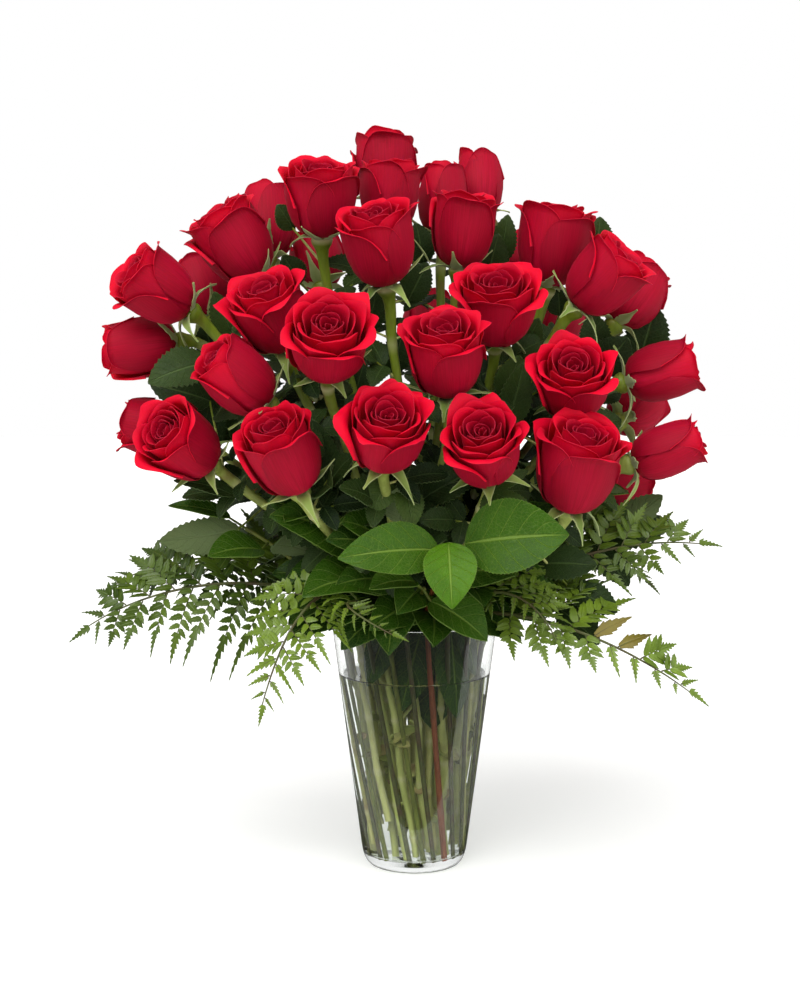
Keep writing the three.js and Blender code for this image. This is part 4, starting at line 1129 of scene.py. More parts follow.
def pinnules(pinna, broad, bright, random):
    """The blade of one pinna: separate pinnules, (count, rows, columns, 3), with a tone each, and the
    toothed tip, (rows, columns, 3), in which the last of them run together.

    The pinnules are toothed and oblong, stand to alternate sides a little forwards, rise from the rib as a
    shallow V and shorten towards the tip. The tip narrows evenly, in and out at each tooth; a rusty one is
    an oval with small teeth.
    """
    step = 6.8 if pinna.far > 40 else 5.2
    rusty = bright >= RUSTY
    count = 0 if rusty or pinna.far <= SIMPLE_PINNA else max(2, int(0.62 * pinna.far / step))
    t = (np.tile(np.arange(count), 2) + np.repeat([0.35, 0.8], count)) * step / pinna.far
    way = np.repeat([1.0, -1.0], count)
    size = broad * np.interp(t, [0, 0.15, 0.4, 0.7], [0.8, 1.0, 0.92, 0.6])
    jitter = np.array([next(random) for _ in range(2 * count)])[:, None, None] - 0.5
    t, size, side = t[:, None, None], size[:, None, None], way[:, None, None]
    u = PINNULE_ALONG[None, :, None]
    v = np.array([-1.0, 0.0, 1.0])[None, None, :]
    half = 0.5 * np.minimum(0.42 * size, 0.98 * step) * PINNULE_HALF[None, :, None] * v
    forward = np.radians(36 + 14 * jitter)
    shares = t + (u * size * np.sin(forward) + half * np.cos(forward)) / pinna.far
    out = 0.4 + u * size * np.cos(forward) - half * np.sin(forward)
    lift = 0.5 * out + 0.25 * np.abs(half) - 0.22 * size * u * u + 0.9 * jitter * half
    grid = pinna.put(shares, side * out, lift)
    grid = np.where((way * pinna.way > 0)[:, None, None, None], grid, grid[:, :, ::-1])

    begin = (count + 0.2) * step / pinna.far
    u = np.linspace(0, 1, TIP_ROWS)[:, None]
    tooth = (np.arange(TIP_ROWS) % 2)[:, None]
    v = np.array([-1.0, 0.0, 1.0])[None, :]
    edge = np.minimum(1, 0.3 + 2.6 * u) * (0.95 + 0.26 * tooth) if rusty else 0.45 + 0.55 * tooth
    half = 0.42 * broad * (1 - 0.97 * u) * edge * v
    shares = begin + (1.04 - begin) * (u + 0.11 * tooth * np.abs(v) * (1 - u))
    tip = pinna.put(shares, half, 0.3 * np.abs(half))
    tip = tip[:, ::-1] if pinna.way > 0 else tip
    return grid, bright + 0.24 * jitter[:, 0, 0], tip


# ---------------------------------------------------------------- salal
TWIG, SALAL_LEAF = range(2)
LOW_TWIG, HIGH_TWIG = 16, 16
COLLAR_SEED = 600
# Tiers of leaves in the collar: radius of their feet, height, length and how far they rise (less than 0:
# fall).
COLLAR_TIERS = ((47, 207, 56, -0.5), (58, 226, 64, -0.25), (66, 252, 62, 0.2))
COLLAR_FAN = 5

# Leaves of the low front sprig that were pushed down into the vase's neck: base, tip, width, face, tone.
# Their low tones are partly painted shade that darkens the neck.
NECK_LEAVES = (
    ((6, -45, 196), (-10, -44, 128), 32, (-0.1, -1, 0.15), 0.12),
    ((26, -40, 190), (30, -41, 122), 30, (0.5, -0.85, 0.1), 0.2),
    ((-18, -42, 198), (-34, -40, 146), 28, (-0.6, -0.8, 0.1), 0.1),
    ((14, -30, 176), (12, -28, 112), 34, (0, -1, 0.1), 0.05),
    ((34, -30, 198), (44, -30, 152), 24, (0.8, -0.6, 0.1), 0.25),
)


def collar_leaves(sprig, roses):
    """Dark leaves that fill the collar round a sprig, as base, tip, width, face and tone: fanned out on
    both sides of the sprig in three tiers, and left out where they would run into a bloom. Their darkness
    is partly their own green and partly painted shade. Seeded by its azimuth."""
    random = seeded(COLLAR_SEED + int(sprig.azimuth % 360))
    found = []
    for tier, (radius, height, size, fall) in enumerate(COLLAR_TIERS):
        for k in range(COLLAR_FAN):
            a = math.radians(sprig.azimuth + 18 * (k - 2) + 9 * (tier % 2) + 12 * (next(random) - 0.5))
            base = vec(radius * math.cos(a), radius * math.sin(a), height + 12 * (next(random) - 0.5))
            b = a + 0.9 * (next(random) - 0.5)
            far = size * (0.75 + 0.45 * next(random))
            tip = base + far * unit(vec(math.cos(b), math.sin(b), fall + 0.4 * next(random)))
            face = vec(0.7 * math.cos(a), 0.7 * math.sin(a) - 0.4, 0.55) + 0.4 * vec(next(random) - 0.5, 0, 0)
            # Painted shade, partly the leaves' own dark green: the collar's leaves take only the darkest
            # tones.
            tone = 0.3 * next(random)
            if clear_of_blooms(base + (tip - base) * np.linspace(0.2, 1, 5)[:, None], roses):
                found.append((base, tip, 0.62 * far, face, tone))
    return found


def build_sprig(sprig, roses, settings, materials):
    """A salal stem with its broad leaves on short stalks, and the leaves that fill the collar and the neck.
    Its radius falls evenly from foot to tip and swells a little at every seventh station."""
    sheaf = Sheaf()
    front = sprig.name == "front"
    low = np.array([sprig.stand(z) for z in np.linspace(FLOOR_Z + GAP, CLEAR_Z - 5, LOW_TWIG)])
    path = np.concatenate([low, bezier(sprig.curve, np.linspace(0, 1, HIGH_TWIG))])
    joint = 0.35 * np.exp(-((np.arange(len(path)) % 7 - 3) ** 2))
    radius = np.linspace(2.3 if front else 1.9, 1.3, len(path)) + joint
    heading = path[-1] - path[0]
    reference = vec(-heading[1], heading[0], 0)
    add_tube(sheaf, path, radius, 9, TWIG, 1.0 if front else 0.2, reference, along=path[:, 2] / 500)

    def leaf(base, tip, width, face, tone, **form):
        thickness = settings.leaf_thickness / MM
        add_leaf(sheaf, base, tip, width, face, SALAL_LEAF, tone, thickness, salal_shape, **form)

    for base, tip, width, face, tone in sprig.leaves:
        base, tip = vec(*base), vec(*tip)
        add_stalk(sheaf, nearest_on(sprig.curve, base), base + 1.5 * unit(tip - base), 1.0, TWIG, 0.1)
        leaf(base, tip, width, face, tone, teeth=26, depth=0.028, columns=13, wave=0.012)
    form = {"teeth": 14, "depth": 0.03, "columns": 9}
    near = path[LOW_TWIG - 4 :]
    for base, tip, width, face, tone in collar_leaves(sprig, roses):
        foot = near[np.argmin(np.linalg.norm(near - base, axis=1))]
        add_stalk(sheaf, foot, base + 1.5 * unit(tip - base), 0.9, TWIG, 0.1)
        leaf(base, tip, width, face, tone, wave=0.03, twist=1.5 * (tone - 0.15), arch=0.12, **form)
    for base, tip, width, face, tone in NECK_LEAVES if sprig.name == "front_low" else ():
        leaf(base, tip, width, face, tone, fold=-0.12, arch=0.02, **form)
    return sheaf.build("salal_sprig_" + sprig.name, materials)


# ---------------------------------------------------------------- vase and water
LATHE_SIDES = 128
# How far the water reaches into the glass, which is how two clear bodies meet without air between them.
WATER_INTO_GLASS = 0.12
# The foot's rounding, the hollow under it, and the rounding of the inner floor, the last as how far inside
# FLOOR_RADIUS it is.
FOOT_CURVE = ((31.0, 0.0), (33.4, 0.35), (35.4, 1.4), (37.2, 3.4), (38.7, 6.4), (39.9, 10.5), (40.7, 15.0))
HOLLOW = ((0, 1.0), (8, 0.95), (16, 0.8), (23, 0.55), (28, 0.3))
FLOOR_CURVE = ((0.2, 16), (0.9, 12.8), (2.6, 10.6), (5.6, 9.4), (10, FLOOR_Z))


def outer_radius(z):
    """The outer wall's radius at a height: a straight taper."""
    return FOOT_RADIUS + (RIM_RADIUS - FOOT_RADIUS) * (z - FOOT_HEIGHT) / (VASE_HEIGHT - FOOT_HEIGHT)


def inner_radius(z):
    """The inner wall, half a millimetre closer in at the bottom, where the glass is thicker."""
    return outer_radius(z) - WALL - 0.5 * (1 - z / VASE_HEIGHT)


def build_lathe(name, profile, material):
    """A closed surface of revolution: a profile of radius and height from the axis round to the axis again.
    The profile's ends lie on the axis, and each is one point."""
    profile = np.asarray(profile, float)
    a = np.linspace(0, 2 * np.pi, LATHE_SIDES, endpoint=False)
    r, z = profile[1:-1, 0][:, None], profile[1:-1, 1][:, None]
    rings = np.stack([r * np.cos(a), r * np.sin(a), z + 0 * a], -1)
    points = np.concatenate([rings.reshape(-1, 3), [[0, 0, profile[0, 1]], [0, 0, profile[-1, 1]]]])
    marks = np.zeros((len(points), 4))
    marks[:, 1] = points[:, 2] / VASE_HEIGHT
    sheaf = Sheaf()
    sheaf.add(points, marks, 0, *ring_faces(len(rings), LATHE_SIDES))
    return sheaf.build(name, [material], crease=45)


def arc(centre_r, centre_z, radius, first, last, count):
    """Points of a circle's arc in the profile's plane, from the first angle to the last, in degrees from
    outwards."""
    a = np.radians(np.linspace(first, last, count))
    return np.stack([centre_r + radius * np.cos(a), centre_z + radius * np.sin(a)], -1)


def build_vase(material):
    """The glass: hollow underside, rounded foot, straight taper, rounded rim, inner wall and inner
    floor."""
    walls = [(outer_radius(z), z) for z in np.linspace(FOOT_HEIGHT, VASE_HEIGHT - 1.8, 12)]
    lip = arc(RIM_RADIUS - 1.65, VASE_HEIGHT - 1.6, 1.6, 0, 180, 9)
    inside = [(inner_radius(z), z) for z in np.linspace(VASE_HEIGHT - 3, 22, 12)]
    floor = [(FLOOR_RADIUS - r, z) for r, z in FLOOR_CURVE] + [(14, FLOOR_Z), (0, FLOOR_Z)]
    profile = np.concatenate([HOLLOW, FOOT_CURVE, walls, lip, inside, floor])
    return build_lathe("glass_vase", profile, material)


def build_water(settings, material):
    """The water: it fills the vase up to its level, reaches a little way into the glass, and climbs it in a
    small meniscus."""
    into = WATER_INTO_GLASS
    level = settings.water_level / MM
    (r0, z0), (r1, z1), (r2, z2), (r3, z3), (r4, z4) = FLOOR_CURVE
    floor = [(0, FLOOR_Z - into), (14, FLOOR_Z - into), (FLOOR_RADIUS - r4, z4 - into)]
    floor += [(FLOOR_RADIUS - r3, z3 - into), (FLOOR_RADIUS - r2 + into, z2 - into)]
    floor += [(FLOOR_RADIUS - r1 + into, z1), (FLOOR_RADIUS - r0 + into, z0)]
    walls = [(inner_radius(z) + into, z) for z in np.linspace(22, level + 1.4, 12)]
    edge = inner_radius(level)
    meniscus = [(edge - 0.5, level + 0.75), (edge - 1.2, level + 0.25), (edge - 2.6, level)]
    top = meniscus + [(30, level), (0, level)]
    return build_lathe("water", np.concatenate([floor, walls, top]), material)


# ---------------------------------------------------------------- materials
# Nodes that come up often, under plain names: Blender's name and the settings.
USUAL = {
    "plus": ("Math", {"operation": "ADD"}),
    "minus": ("Math", {"operation": "SUBTRACT"}),
    "times": ("Math", {"operation": "MULTIPLY"}),
    "larger": ("Math", {"operation": "MAXIMUM"}),
    "size": ("Math", {"operation": "ABSOLUTE"}),
    "fraction": ("Math", {"operation": "FRACT"}),
    "remainder": ("Math", {"operation": "MODULO"}),
    "above": ("Math", {"operation": "GREATER_THAN"}),
    "below": ("Math", {"operation": "LESS_THAN"}),
    "step": ("MapRange", {"interpolation_type": "SMOOTHSTEP"}),
    "blend": ("Mix", {"data_type": "RGBA"}),
    "darken": ("Mix", {"data_type": "RGBA", "blend_type": "MULTIPLY"}),
}


def linear(colour):
    """An sRGB hex colour as linear red, green, blue and 1."""
    parts = [int(colour[i : i + 2], 16) / 255 for i in (1, 3, 5)]
    return tuple(c / 12.92 if c <= 0.04045 else ((c + 0.055) / 1.055) ** 2.4 for c in parts) + (1.0,)


def plug(socket, source):
    """Links a node's output to a socket, or sets the socket to a number, a vector or a hex colour."""
    if isinstance(source, bpy.types.NodeSocket):
        socket.id_data.links.new(source, socket)
    elif source is not None:
        socket.default_value = linear(source) if isinstance(source, str) else source


def node(tree, kind, *sources, out=None, **settings):
    """Adds a node, gives its inputs their sources in order (None leaves one as it is), and returns the
    output named out, or its first."""
    name, usual = USUAL.get(kind, (kind, {}))
    made = tree.nodes.new("ShaderNode" + name)
    for key, value in {**usual, **settings}.items():
        setattr(made, key, value)
    for socket, source in zip([one for one in made.inputs if one.enabled], sources):
        plug(socket, source)
    if out:
        return made.outputs[out]
    return next((one for one in made.outputs if one.enabled), None)


class Shade:
    """A new material with its Principled shader; add puts a node into its tree."""

    def __init__(self, name):
        self.material = bpy.data.materials.new(name)
        self.material.use_nodes = True
        self.material.node_tree.nodes.clear()
        self.add = partial(node, self.material.node_tree)
        self.skin = self.add("BsdfPrincipled")

    def marks(self, *names):
        """The outputs of the marks with these names, of across, along, side and tone."""
        blade = self.add("Attribute", out="Vector", attribute_name="blade")
        found = dict(zip(("across", "along", "side"), self.add("SeparateXYZ", blade).node.outputs))
        found["tone"] = self.add("Attribute", out="Fac", attribute_name="tone")
        return [found[name] for name in names]

    def noise(self, scale, detail=2.0, stretch=None, source=None, roughness=0.5):
        """Noise on Object coordinates, or on a given vector, its axes scaled by stretch."""
        vector = source or self.add("TexCoord", out="Object")
        if stretch:
            vector = self.add("Mapping", vector, None, None, stretch)
        return self.add("TexNoise", vector, scale, detail, roughness)

    def layers(self, base, *over):
        """A base colour with others laid over it in turn, each given as its share and its colour."""
        for share, colour in over:
            base = self.add("blend", share, base, colour)
        return base

    def set(self, **sources):
        """Sets or links the Principled shader's sockets."""
        for name, source in sources.items():
            plug(self.skin.node.inputs[name.replace("_", " ")], source)

    def finish(self, surface=None):
        """Joins the surface, or the Principled shader alone, to the material's output."""
        self.add("OutputMaterial", surface or self.skin)
        return self.material


def petal_velvet(settings):
    """Rose petal: a soft, velvety skin. The inner face is a full red that deepens towards the base and the
    heart, partly the rose's own deeper red and partly painted shade. The back is nearly as red on inner
    petals, and on outer ones a cooler crimson, partly their own colour and partly painted shade, with fine
    lengthwise lines and a fuller red over the belly. The margin is coloured as the back on both faces, a
    painted shade that dims the bright flare there, and the very rim is a thin paler line, a painted
    highlight.

    Its tone is the petal's place from rim (0) to heart (1), plus 10 times a whole number from 0 to 9 that
    sets how dark each petal is. The lines are about 1 mm apart and the grain is 1 mm; real down is far
    finer, and is drawn this coarse so that it shows.
    """
    shade = Shade("rose_petal_velvet")
    add = shade.add
    across, along, side, tone = shade.marks("across", "along", "side", "tone")
    depth = add("remainder", tone, 10.0)
    each = add("times", add("minus", tone, depth), 0.01)
    blade = add("Attribute", out="Vector", attribute_name="blade")
    lines = shade.noise(1.0, 3.0, (26.0, 2.0, 1.0), blade, 0.6)
    cloud = shade.noise(60.0)
    # Painted shade, partly the rose's own deeper red: the inner face darkens towards the petal's base and on
    # the petals near the heart.
    inner = add("blend", add("step", along, 0.15, 0.7), settings.heart_red_and_painted_shade, settings.petal_red)
    inner = add("blend", add("step", depth, 0.3, 0.85, 0.0, 0.8), inner, settings.heart_red_and_painted_shade)
    crimson = add("blend", add("step", lines, 0.35, 0.68), settings.back_shadow, settings.back_red_and_painted_shade)
    off = add("size", across)
    belly = add("times", add("step", off, 0.75, 0.1), add("step", along, 0.75, 0.3))
    # Outer petals' backs keep the crimson, partly their own colour and partly painted shade; inner petals'
    # backs take the inner red.
    back = shade.layers(
        crimson,
        (add("step", depth, 0.05, 0.45, 0.0, 0.85), inner),
        (add("times", belly, add("step", lines, 0.3, 0.7, 0.15, 0.6)), "#c81038"),
        (add("step", off, 0.7, 1.0, 0.0, 0.5), settings.back_shadow),
    )
    # Painted shade: the margin of the inner face takes the back's darker colour, which dims its bright flare.
    margin = add("times", add("step", off, 0.8, 0.93), add("step", along, 0.92, 0.7))
    # Painted highlight: a thin paler line along the very rim, stronger on the petals near the heart.
    rim = add("times", add("step", along, 0.975, 1.0), add("step", depth, 0.1, 0.8, 0.15, 0.32))
    base = shade.layers(
        inner,
        (add("larger", side, margin), back),
        (add("step", cloud, 0.3, 0.75, 0.0, 0.25), settings.heart_red_and_painted_shade),
        (add("step", each, 0.0, 1.0, 0.0, 0.3), settings.heart_red_and_painted_shade),
        (rim, settings.painted_rim_highlight),
    )
    grain = add("plus", add("times", lines, 0.7), add("times", shade.noise(900.0), 0.3))
    shade.set(
        Base_Color=base,
        Roughness=0.6,
        Specular_IOR_Level=0.12,
        Sheen_Weight=0.12,
        Sheen_Roughness=0.35,
        Sheen_Tint="#ff5a70",
        Subsurface_Weight=0.15,
        Subsurface_Scale=0.002,
        Subsurface_Radius=(1.0, 0.1, 0.1),
        Normal=add("Bump", 0.35, 0.0004, None, grain),
    )
    return shade.finish()


def leaf_skin(name, dark, bright, under, vein, pairs, gloss, quilt):
    """A leaf: waxy above and paler below, with a pale midrib, pairs of side veins that run out towards the
    margin and a fine net between them. Its tone runs from dark to bright; gloss is its roughness, and quilt
    how deep its veins lie in metres.

    The net's cells are 2.4 mm, about twice the real ones, so that they show.
    """
    shade = Shade(name)
    add = shade.add
    across, along, side, tone = shade.marks("across", "along", "side", "tone")
    off = add("size", across)
    phase = add("times", add("minus", along, add("times", off, 0.26)), float(pairs))
    veins = add("step", add("size", add("minus", add("fraction", phase), 0.5)), 0.44, 0.5)
    mask = add("larger", add("times", veins, 0.6), add("step", off, 0.075, 0.02))
    cells = add("TexVoronoi", add("TexCoord", out="Object"), 420.0, feature="DISTANCE_TO_EDGE")
    net = add("step", cells, 0.12, 0.0)
    base = shade.layers(
        add("blend", tone, dark, bright),
        (add("step", shade.noise(45.0, 3.0), 0.35, 0.7, 0.0, 0.35), dark),
        (add("times", mask, 0.42), vein),
        (add("times", net, 0.12), vein),
        (add("times", side, 0.75), under),
        (add("times", add("step", off, 0.95, 1.0), 0.12), vein),
    )
    height = add("plus", add("times", mask, -1.0), add("times", net, -0.2))
    shade.set(
        Base_Color=base,
        Roughness=gloss,
        Specular_IOR_Level=0.16,
        Subsurface_Weight=0.05,
        Subsurface_Scale=0.001,
        Subsurface_Radius=(0.5, 1.0, 0.2),
        Normal=add("Bump", 1.0, quilt, None, height),
    )
    return shade.finish()


def stem_skin(name, green, olive, blush):
    """A cut stem's skin: smooth green, paler low down in the vase, partly its own colour and partly painted
    light, yellower on some stems, pale at the joints and flushed red-brown in patches. Its streaks are 4 mm
    wide and 40 mm long, and its patches 18 mm across."""
    shade = Shade(name)
    add = shade.add
    along, joint, tone = shade.marks("along", "side", "tone")
    streaks = shade.noise(1.0, 3.0, (260.0, 260.0, 26.0))
    patches = shade.noise(55.0)
    yellow = add("times", add("step", tone, 0.3, 1.0, 0.0, 0.8), add("step", along, 0.5, 0.36))
    # Painted light, partly the stem's own paler green: the stem is lighter low down, in the vase, to make up
    # for the light that the glass and water take.
    base = add("blend", add("step", along, 0.35, 0.8), green, olive)
    base = add("blend", yellow, base, "#c8c27c")
    base = add("darken", add("step", streaks, 0.3, 0.7, 0.0, 0.35), base, olive)
    flush = add("times", add("step", patches, 0.55, 0.75), add("step", tone, 0.2, 1.0, 0.1, 0.7))
    base = shade.layers(base, (flush, blush), (add("times", joint, 0.75), "#cfcb98"))
    shade.set(
        Base_Color=base,
        Roughness=0.42,
        Specular_IOR_Level=0.4,
        Normal=add("Bump", 0.4, 0.0005, None, streaks),
    )
    return shade.finish()


def twig_skin():
    """Salal twig: green where it is young and red-brown bark where it is old; its tone says which. The
    bark's streaks are 3 mm wide and 25 mm long."""
    shade = Shade("salal_twig_bark")
    add = shade.add
    (tone,) = shade.marks("tone")
    streaks = shade.noise(1.0, 3.0, (300.0, 300.0, 40.0))
    base = add("blend", tone, "#5f7a28", "#8a4a28")
    base = add("darken", add("step", streaks, 0.3, 0.7, 0.0, 0.4), base, "#5a2f1c")
    shade.set(Base_Color=base, Roughness=0.5, Normal=add("Bump", 0.5, 0.0005, None, streaks))
    return shade.finish()


def sepal_skin():
    """Sepal: green above and paler below, downy, with a lighter edge."""
    shade = Shade("sepal_down")
    add = shade.add
    across, side, tone = shade.marks("across", "side", "tone")
    base = shade.layers(
        add("blend", add("step", tone, 0.3, 0.8), "#8ea350", "#587424"),
        (side, "#a9b676"),
        (add("step", add("size", across), 0.6, 1.0, 0.0, 0.4), "#ccd29c"),
        (add("step", shade.noise(90.0), 0.3, 0.7, 0.0, 0.4), "#87a04a"),
    )
    shade.set(
        Base_Color=base,
        Roughness=0.65,
        Specular_IOR_Level=0.3,
        Sheen_Weight=0.2,
        Sheen_Roughness=0.5,
    )
    return shade.finish()


def withered_skin():
    """A scrap of leaf left on a stem: olive, browned in patches and towards its tip."""
    shade = Shade("withered_leaf")
    add = shade.add
    along, tone = shade.marks("along", "tone")
    base = shade.layers(
        add("blend", add("step", along, 0.1, 0.9), "#9aa35c", "#b09a6a"),
        (add("step", tone, 0.3, 0.9, 0.0, 0.6), "#7a8a3c"),
        (add("step", shade.noise(120.0), 0.4, 0.7, 0.0, 0.5), "#6e6038"),
    )
    shade.set(Base_Color=base, Roughness=0.5, Specular_IOR_Level=0.3)
    return shade.finish()


def thorn_horn():
    """Thorn: smooth horn, green at the root and red-brown at the point."""
    shade = Shade("thorn_horn")
    (along,) = shade.marks("along")
    colour = shade.add("blend", shade.add("step", along, 0.1, 0.7), "#7f9440", "#8c4a32")
    shade.set(Base_Color=colour, Roughness=0.4)
    return shade.finish()


def fern_skin(settings):
    """Leatherleaf fern: firm, satin pinnules with a paler middle line; a tone above 1.15 is flushed
    brown."""
    shade = Shade("fern_pinnule_satin")
    add = shade.add
    across, side, tone = shade.marks("across", "side", "tone")
    off = add("size", across)
    base = shade.layers(
        add("blend", tone, settings.fern_dark, settings.fern_bright),
        (add("step", shade.noise(110.0), 0.3, 0.7, 0.0, 0.3), settings.fern_dark),
        (add("step", off, 0.25, 0.0, 0.0, 0.22), "#6f8632"),
        (add("times", side, 0.6), "#5a6a3e"),
        (add("step", tone, 1.15, 1.6, 0.0, 0.85), "#7c622a"),
    )
    ridge = add("step", off, 0.3, 0.0)
    shade.set(
        Base_Color=base,
        Roughness=0.33,
        Specular_IOR_Level=0.4,
        Normal=add("Bump", 0.6, 0.0004, None, ridge),
    )
    return shade.finish()


def rachis_skin():
    """A fern's rib: thin, smooth, olive to brown."""
    shade = Shade("fern_rib")
    add = shade.add
    (along,) = shade.marks("along")
    base = shade.layers(
        add("blend", add("step", along, 0.3, 1.0), "#4a5024", "#565e2a"),
        (add("step", shade.noise(80.0), 0.4, 0.7, 0.0, 0.7), "#4c3424"),
    )
    shade.set(Base_Color=base, Roughness=0.5)
    return shade.finish()


def clear_body(name, tint, ior):
    """A clear body that bends light. For lamps' rays it is plainly transparent, so that light gets to what
    is in it and behind it."""
    shade = Shade(name)
    shade.set(Base_Color=tint, Roughness=0.0, IOR=ior, Transmission_Weight=1.0)
    shadow = shade.add("LightPath", out="Is Shadow Ray")
    return shade.finish(shade.add("MixShader", shadow, shade.skin, shade.add("BsdfTransparent", tint)))


# ---------------------------------------------------------------- settings
def metres(name, description, default):
    """A setting that is a length."""
    return bpy.props.FloatProperty(
        name=name, description=description, default=default, unit="LENGTH", precision=5
    )


def amount(name, description, default):
    """A setting that is a plain number."""
    return bpy.props.FloatProperty(name=name, description=description, default=default)


def hex_colour(name, description, default):
    """A setting that is a colour."""
    words = description + ", as an sRGB hex value"
    return bpy.props.StringProperty(name=name, description=words, default=default)


class BouquetRoses(bpy.types.PropertyGroup):
    """Sizes and colours of the blooms."""

    petal_thickness: metres("Petal thickness", "Thickness of a petal", 0.00036)
    lip_turn: amount("Lip turn", "How far the petals' rims turn out, against the tables", 1.0)
    tuck: amount("Tuck", "How far one side of a petal stands out, as a share of its radius", 0.05)
    petal_red: hex_colour("Petal red", "Colour of a petal's inner face", "#e8002a")
    # Deep red at a petal's base and in the heart, partly the rose's own and partly painted shade.
    heart_red_and_painted_shade: hex_colour("Heart red", "Colour deep in the bloom", "#980426")
    # The crimson of the outer petals' backs, partly their own colour and partly painted shade.
    back_red_and_painted_shade: hex_colour("Back red", "Colour of an outer petal's back", "#a60226")
    back_shadow: hex_colour("Back shadow", "Colour of the lines on an outer petal's back", "#90031f")
    # A painted highlight along each petal's rim.
    painted_rim_highlight: hex_colour("Rim pink", "Colour of a petal's rim", "#cc3a56")


class BouquetGreens(bpy.types.PropertyGroup):
    """Sizes and colours of stems and leaves."""

    stem_radius: metres("Stem radius", "Radius of a rose stem", 0.0031)
    leaf_thickness: metres("Leaf thickness", "Thickness of a leaf", 0.0007)
    pinnule_thickness: metres("Pinnule thickness", "Thickness of a fern's pinnules", 0.0006)
    # The pale green of the stems in the vase, partly their own colour and partly painted light.
    stem_green_and_painted_light: hex_colour("Stem green", "Colour of the stems in the vase", "#c8ce7c")
    stem_olive: hex_colour("Stem olive", "Colour of the stems near the blooms", "#7b8f24")
    rose_leaf_dark: hex_colour("Rose leaf dark", "Darkest rose leaf", "#14260f")
    rose_leaf_bright: hex_colour("Rose leaf bright", "Brightest rose leaf", "#465c24")
    fern_dark: hex_colour("Fern dark", "Darkest fern", "#22380c")
    fern_bright: hex_colour("Fern bright", "Brightest fern", "#76902a")
    salal_dark: hex_colour("Salal dark", "Darkest salal leaf", "#1c3a0a")
    salal_bright: hex_colour("Salal bright", "Brightest salal leaf", "#477206")


class BouquetVase(bpy.types.PropertyGroup):
    """The vase and the water in it."""

    water_level: metres("Water level", "Height of the water's surface", WATER_Z * MM)
    glass_tint: hex_colour("Glass tint", "Colour that the glass lets through", "#fdfffe")
    water_tint: hex_colour("Water tint", "Colour that the water lets through", "#fcfefa")
    glass_ior: amount("Glass IOR", "How strongly the glass bends light", 1.5)
    water_ior: amount("Water IOR", "How strongly the water bends light", 1.333)


class BouquetStage(bpy.types.PropertyGroup):
    """Floor, lights and camera."""

    key_strength: amount("Key light", "Strength of the key light", 2.15)
    fill_strength: amount("Fill light", "Strength of the fill light", 0.9)
    sky: amount("Sky", "Strength of the light from all round", 0.6)
    room: amount("Room", "Strength of the room's reflection", 0.2)
    room_sides: amount("Room sides", "Strength of the bright sides in reflections", 1.1)
    floor_colour: hex_colour("Floor", "Colour of the floor", "#f6f6f4")
    floor_glow: amount("Floor glow", "How far the floor's shadows are lifted where it is seen", 0.22)


# ---------------------------------------------------------------- stage
# The floor: its radius in metres, how many sides it has, how far it lies below the vase, and the y beyond
# which it counts as behind the vase.
FLOOR_SPAN = 6.0
FLOOR_SIDES = 64
FLOOR_SINK = 0.0004
BEHIND_VASE = -0.1
WHITE = (1, 1, 1, 1)

# The suns' azimuth and elevation as seen from the vase, and their width, in degrees.
KEY_SUN = (-115, 48, 50)
FILL_SUN = (-50, 35, 60)

# The camera's place and aim in metres, and its focal length: the photograph is 1000 pixels high, and is
# taken to have been made with a lens 1717 pixels long.
EYE = (-0.011, -1.3, 0.402)
EYE_AIM = (-0.011, 0.0, 0.281)
SENSOR = 36
FRAME_HEIGHT = 1000
LENS_PIXELS = 1717


def build_floor(settings):
    """A round floor of matt white board, just below the vase's foot. It glows a little for rays that have
    not been scattered yet, which lifts its shadow, and it is a darker grey where the glass mirrors it."""
    mesh = bpy.data.meshes.new("floor")
    a = np.linspace(0, 2 * np.pi, FLOOR_SIDES, endpoint=False)
    rim = np.stack([FLOOR_SPAN * np.cos(a), FLOOR_SPAN * np.sin(a), 0 * a - FLOOR_SINK], -1)
    mesh.from_pydata(rim.tolist(), [], [list(range(FLOOR_SIDES))])
    floor = bpy.data.objects.new("floor", mesh)
    bpy.context.scene.collection.objects.link(floor)
    shade = Shade("matt_board")
    add = shade.add
    rays = add("LightPath").node.outputs
    straight = add("below", rays["Diffuse Depth"], 0.5)
    speckle = add("step", shade.noise(30.0), 0.3, 0.7, 0.0, 0.04)
    shade.set(
        Base_Color=add("blend", speckle, settings.floor_colour, "#dcdcd8"),
        Roughness=0.8,
        Specular_IOR_Level=0.2,
        Emission_Color=WHITE,
        Emission_Strength=add("times", straight, settings.floor_glow),
    )
    place = add("SeparateXYZ", add("TexCoord", out="Object")).node.outputs
    through = add("times", rays["Is Transmission Ray"], add("above", place[1], BEHIND_VASE))
    mirrored = add("minus", rays["Is Glossy Ray"], through, use_clamp=True)
    mesh.materials.append(
        shade.finish(add("MixShader", mirrored, shade.skin, add("BsdfDiffuse", "#5a5a58")))
    )


def build_world(settings):
    """Soft light from all round. The camera, and rays that pass the glass towards the back, find plain
    white. Mirrored rays find a dim room with a bright side at the left and right, and all others the
    sky."""
    world = bpy.data.worlds.new("studio")
    bpy.context.scene.world = world
    world.use_nodes = True
    world.node_tree.nodes.clear()
    add = partial(node, world.node_tree)
    rays = add("LightPath").node.outputs
    x, y = add("SeparateXYZ", add("TexCoord", out="Generated")).node.outputs[:2]
    straight = add("below", rays["Diffuse Depth"], 0.5)
    back = add("times", straight, add("above", y, 0.0))
    clear = add("larger", rays["Is Camera Ray"], add("times", rays["Is Transmission Ray"], back))
    room = add("step", add("size", x), 0.72, 0.9, settings.room, settings.room_sides)
    level = add("Mix", rays["Is Glossy Ray"], settings.sky, room, data_type="FLOAT")
    glow, white = add("Background", WHITE, level), add("Background", WHITE, 1.0)
    add("OutputWorld", add("MixShader", clear, glow, white))


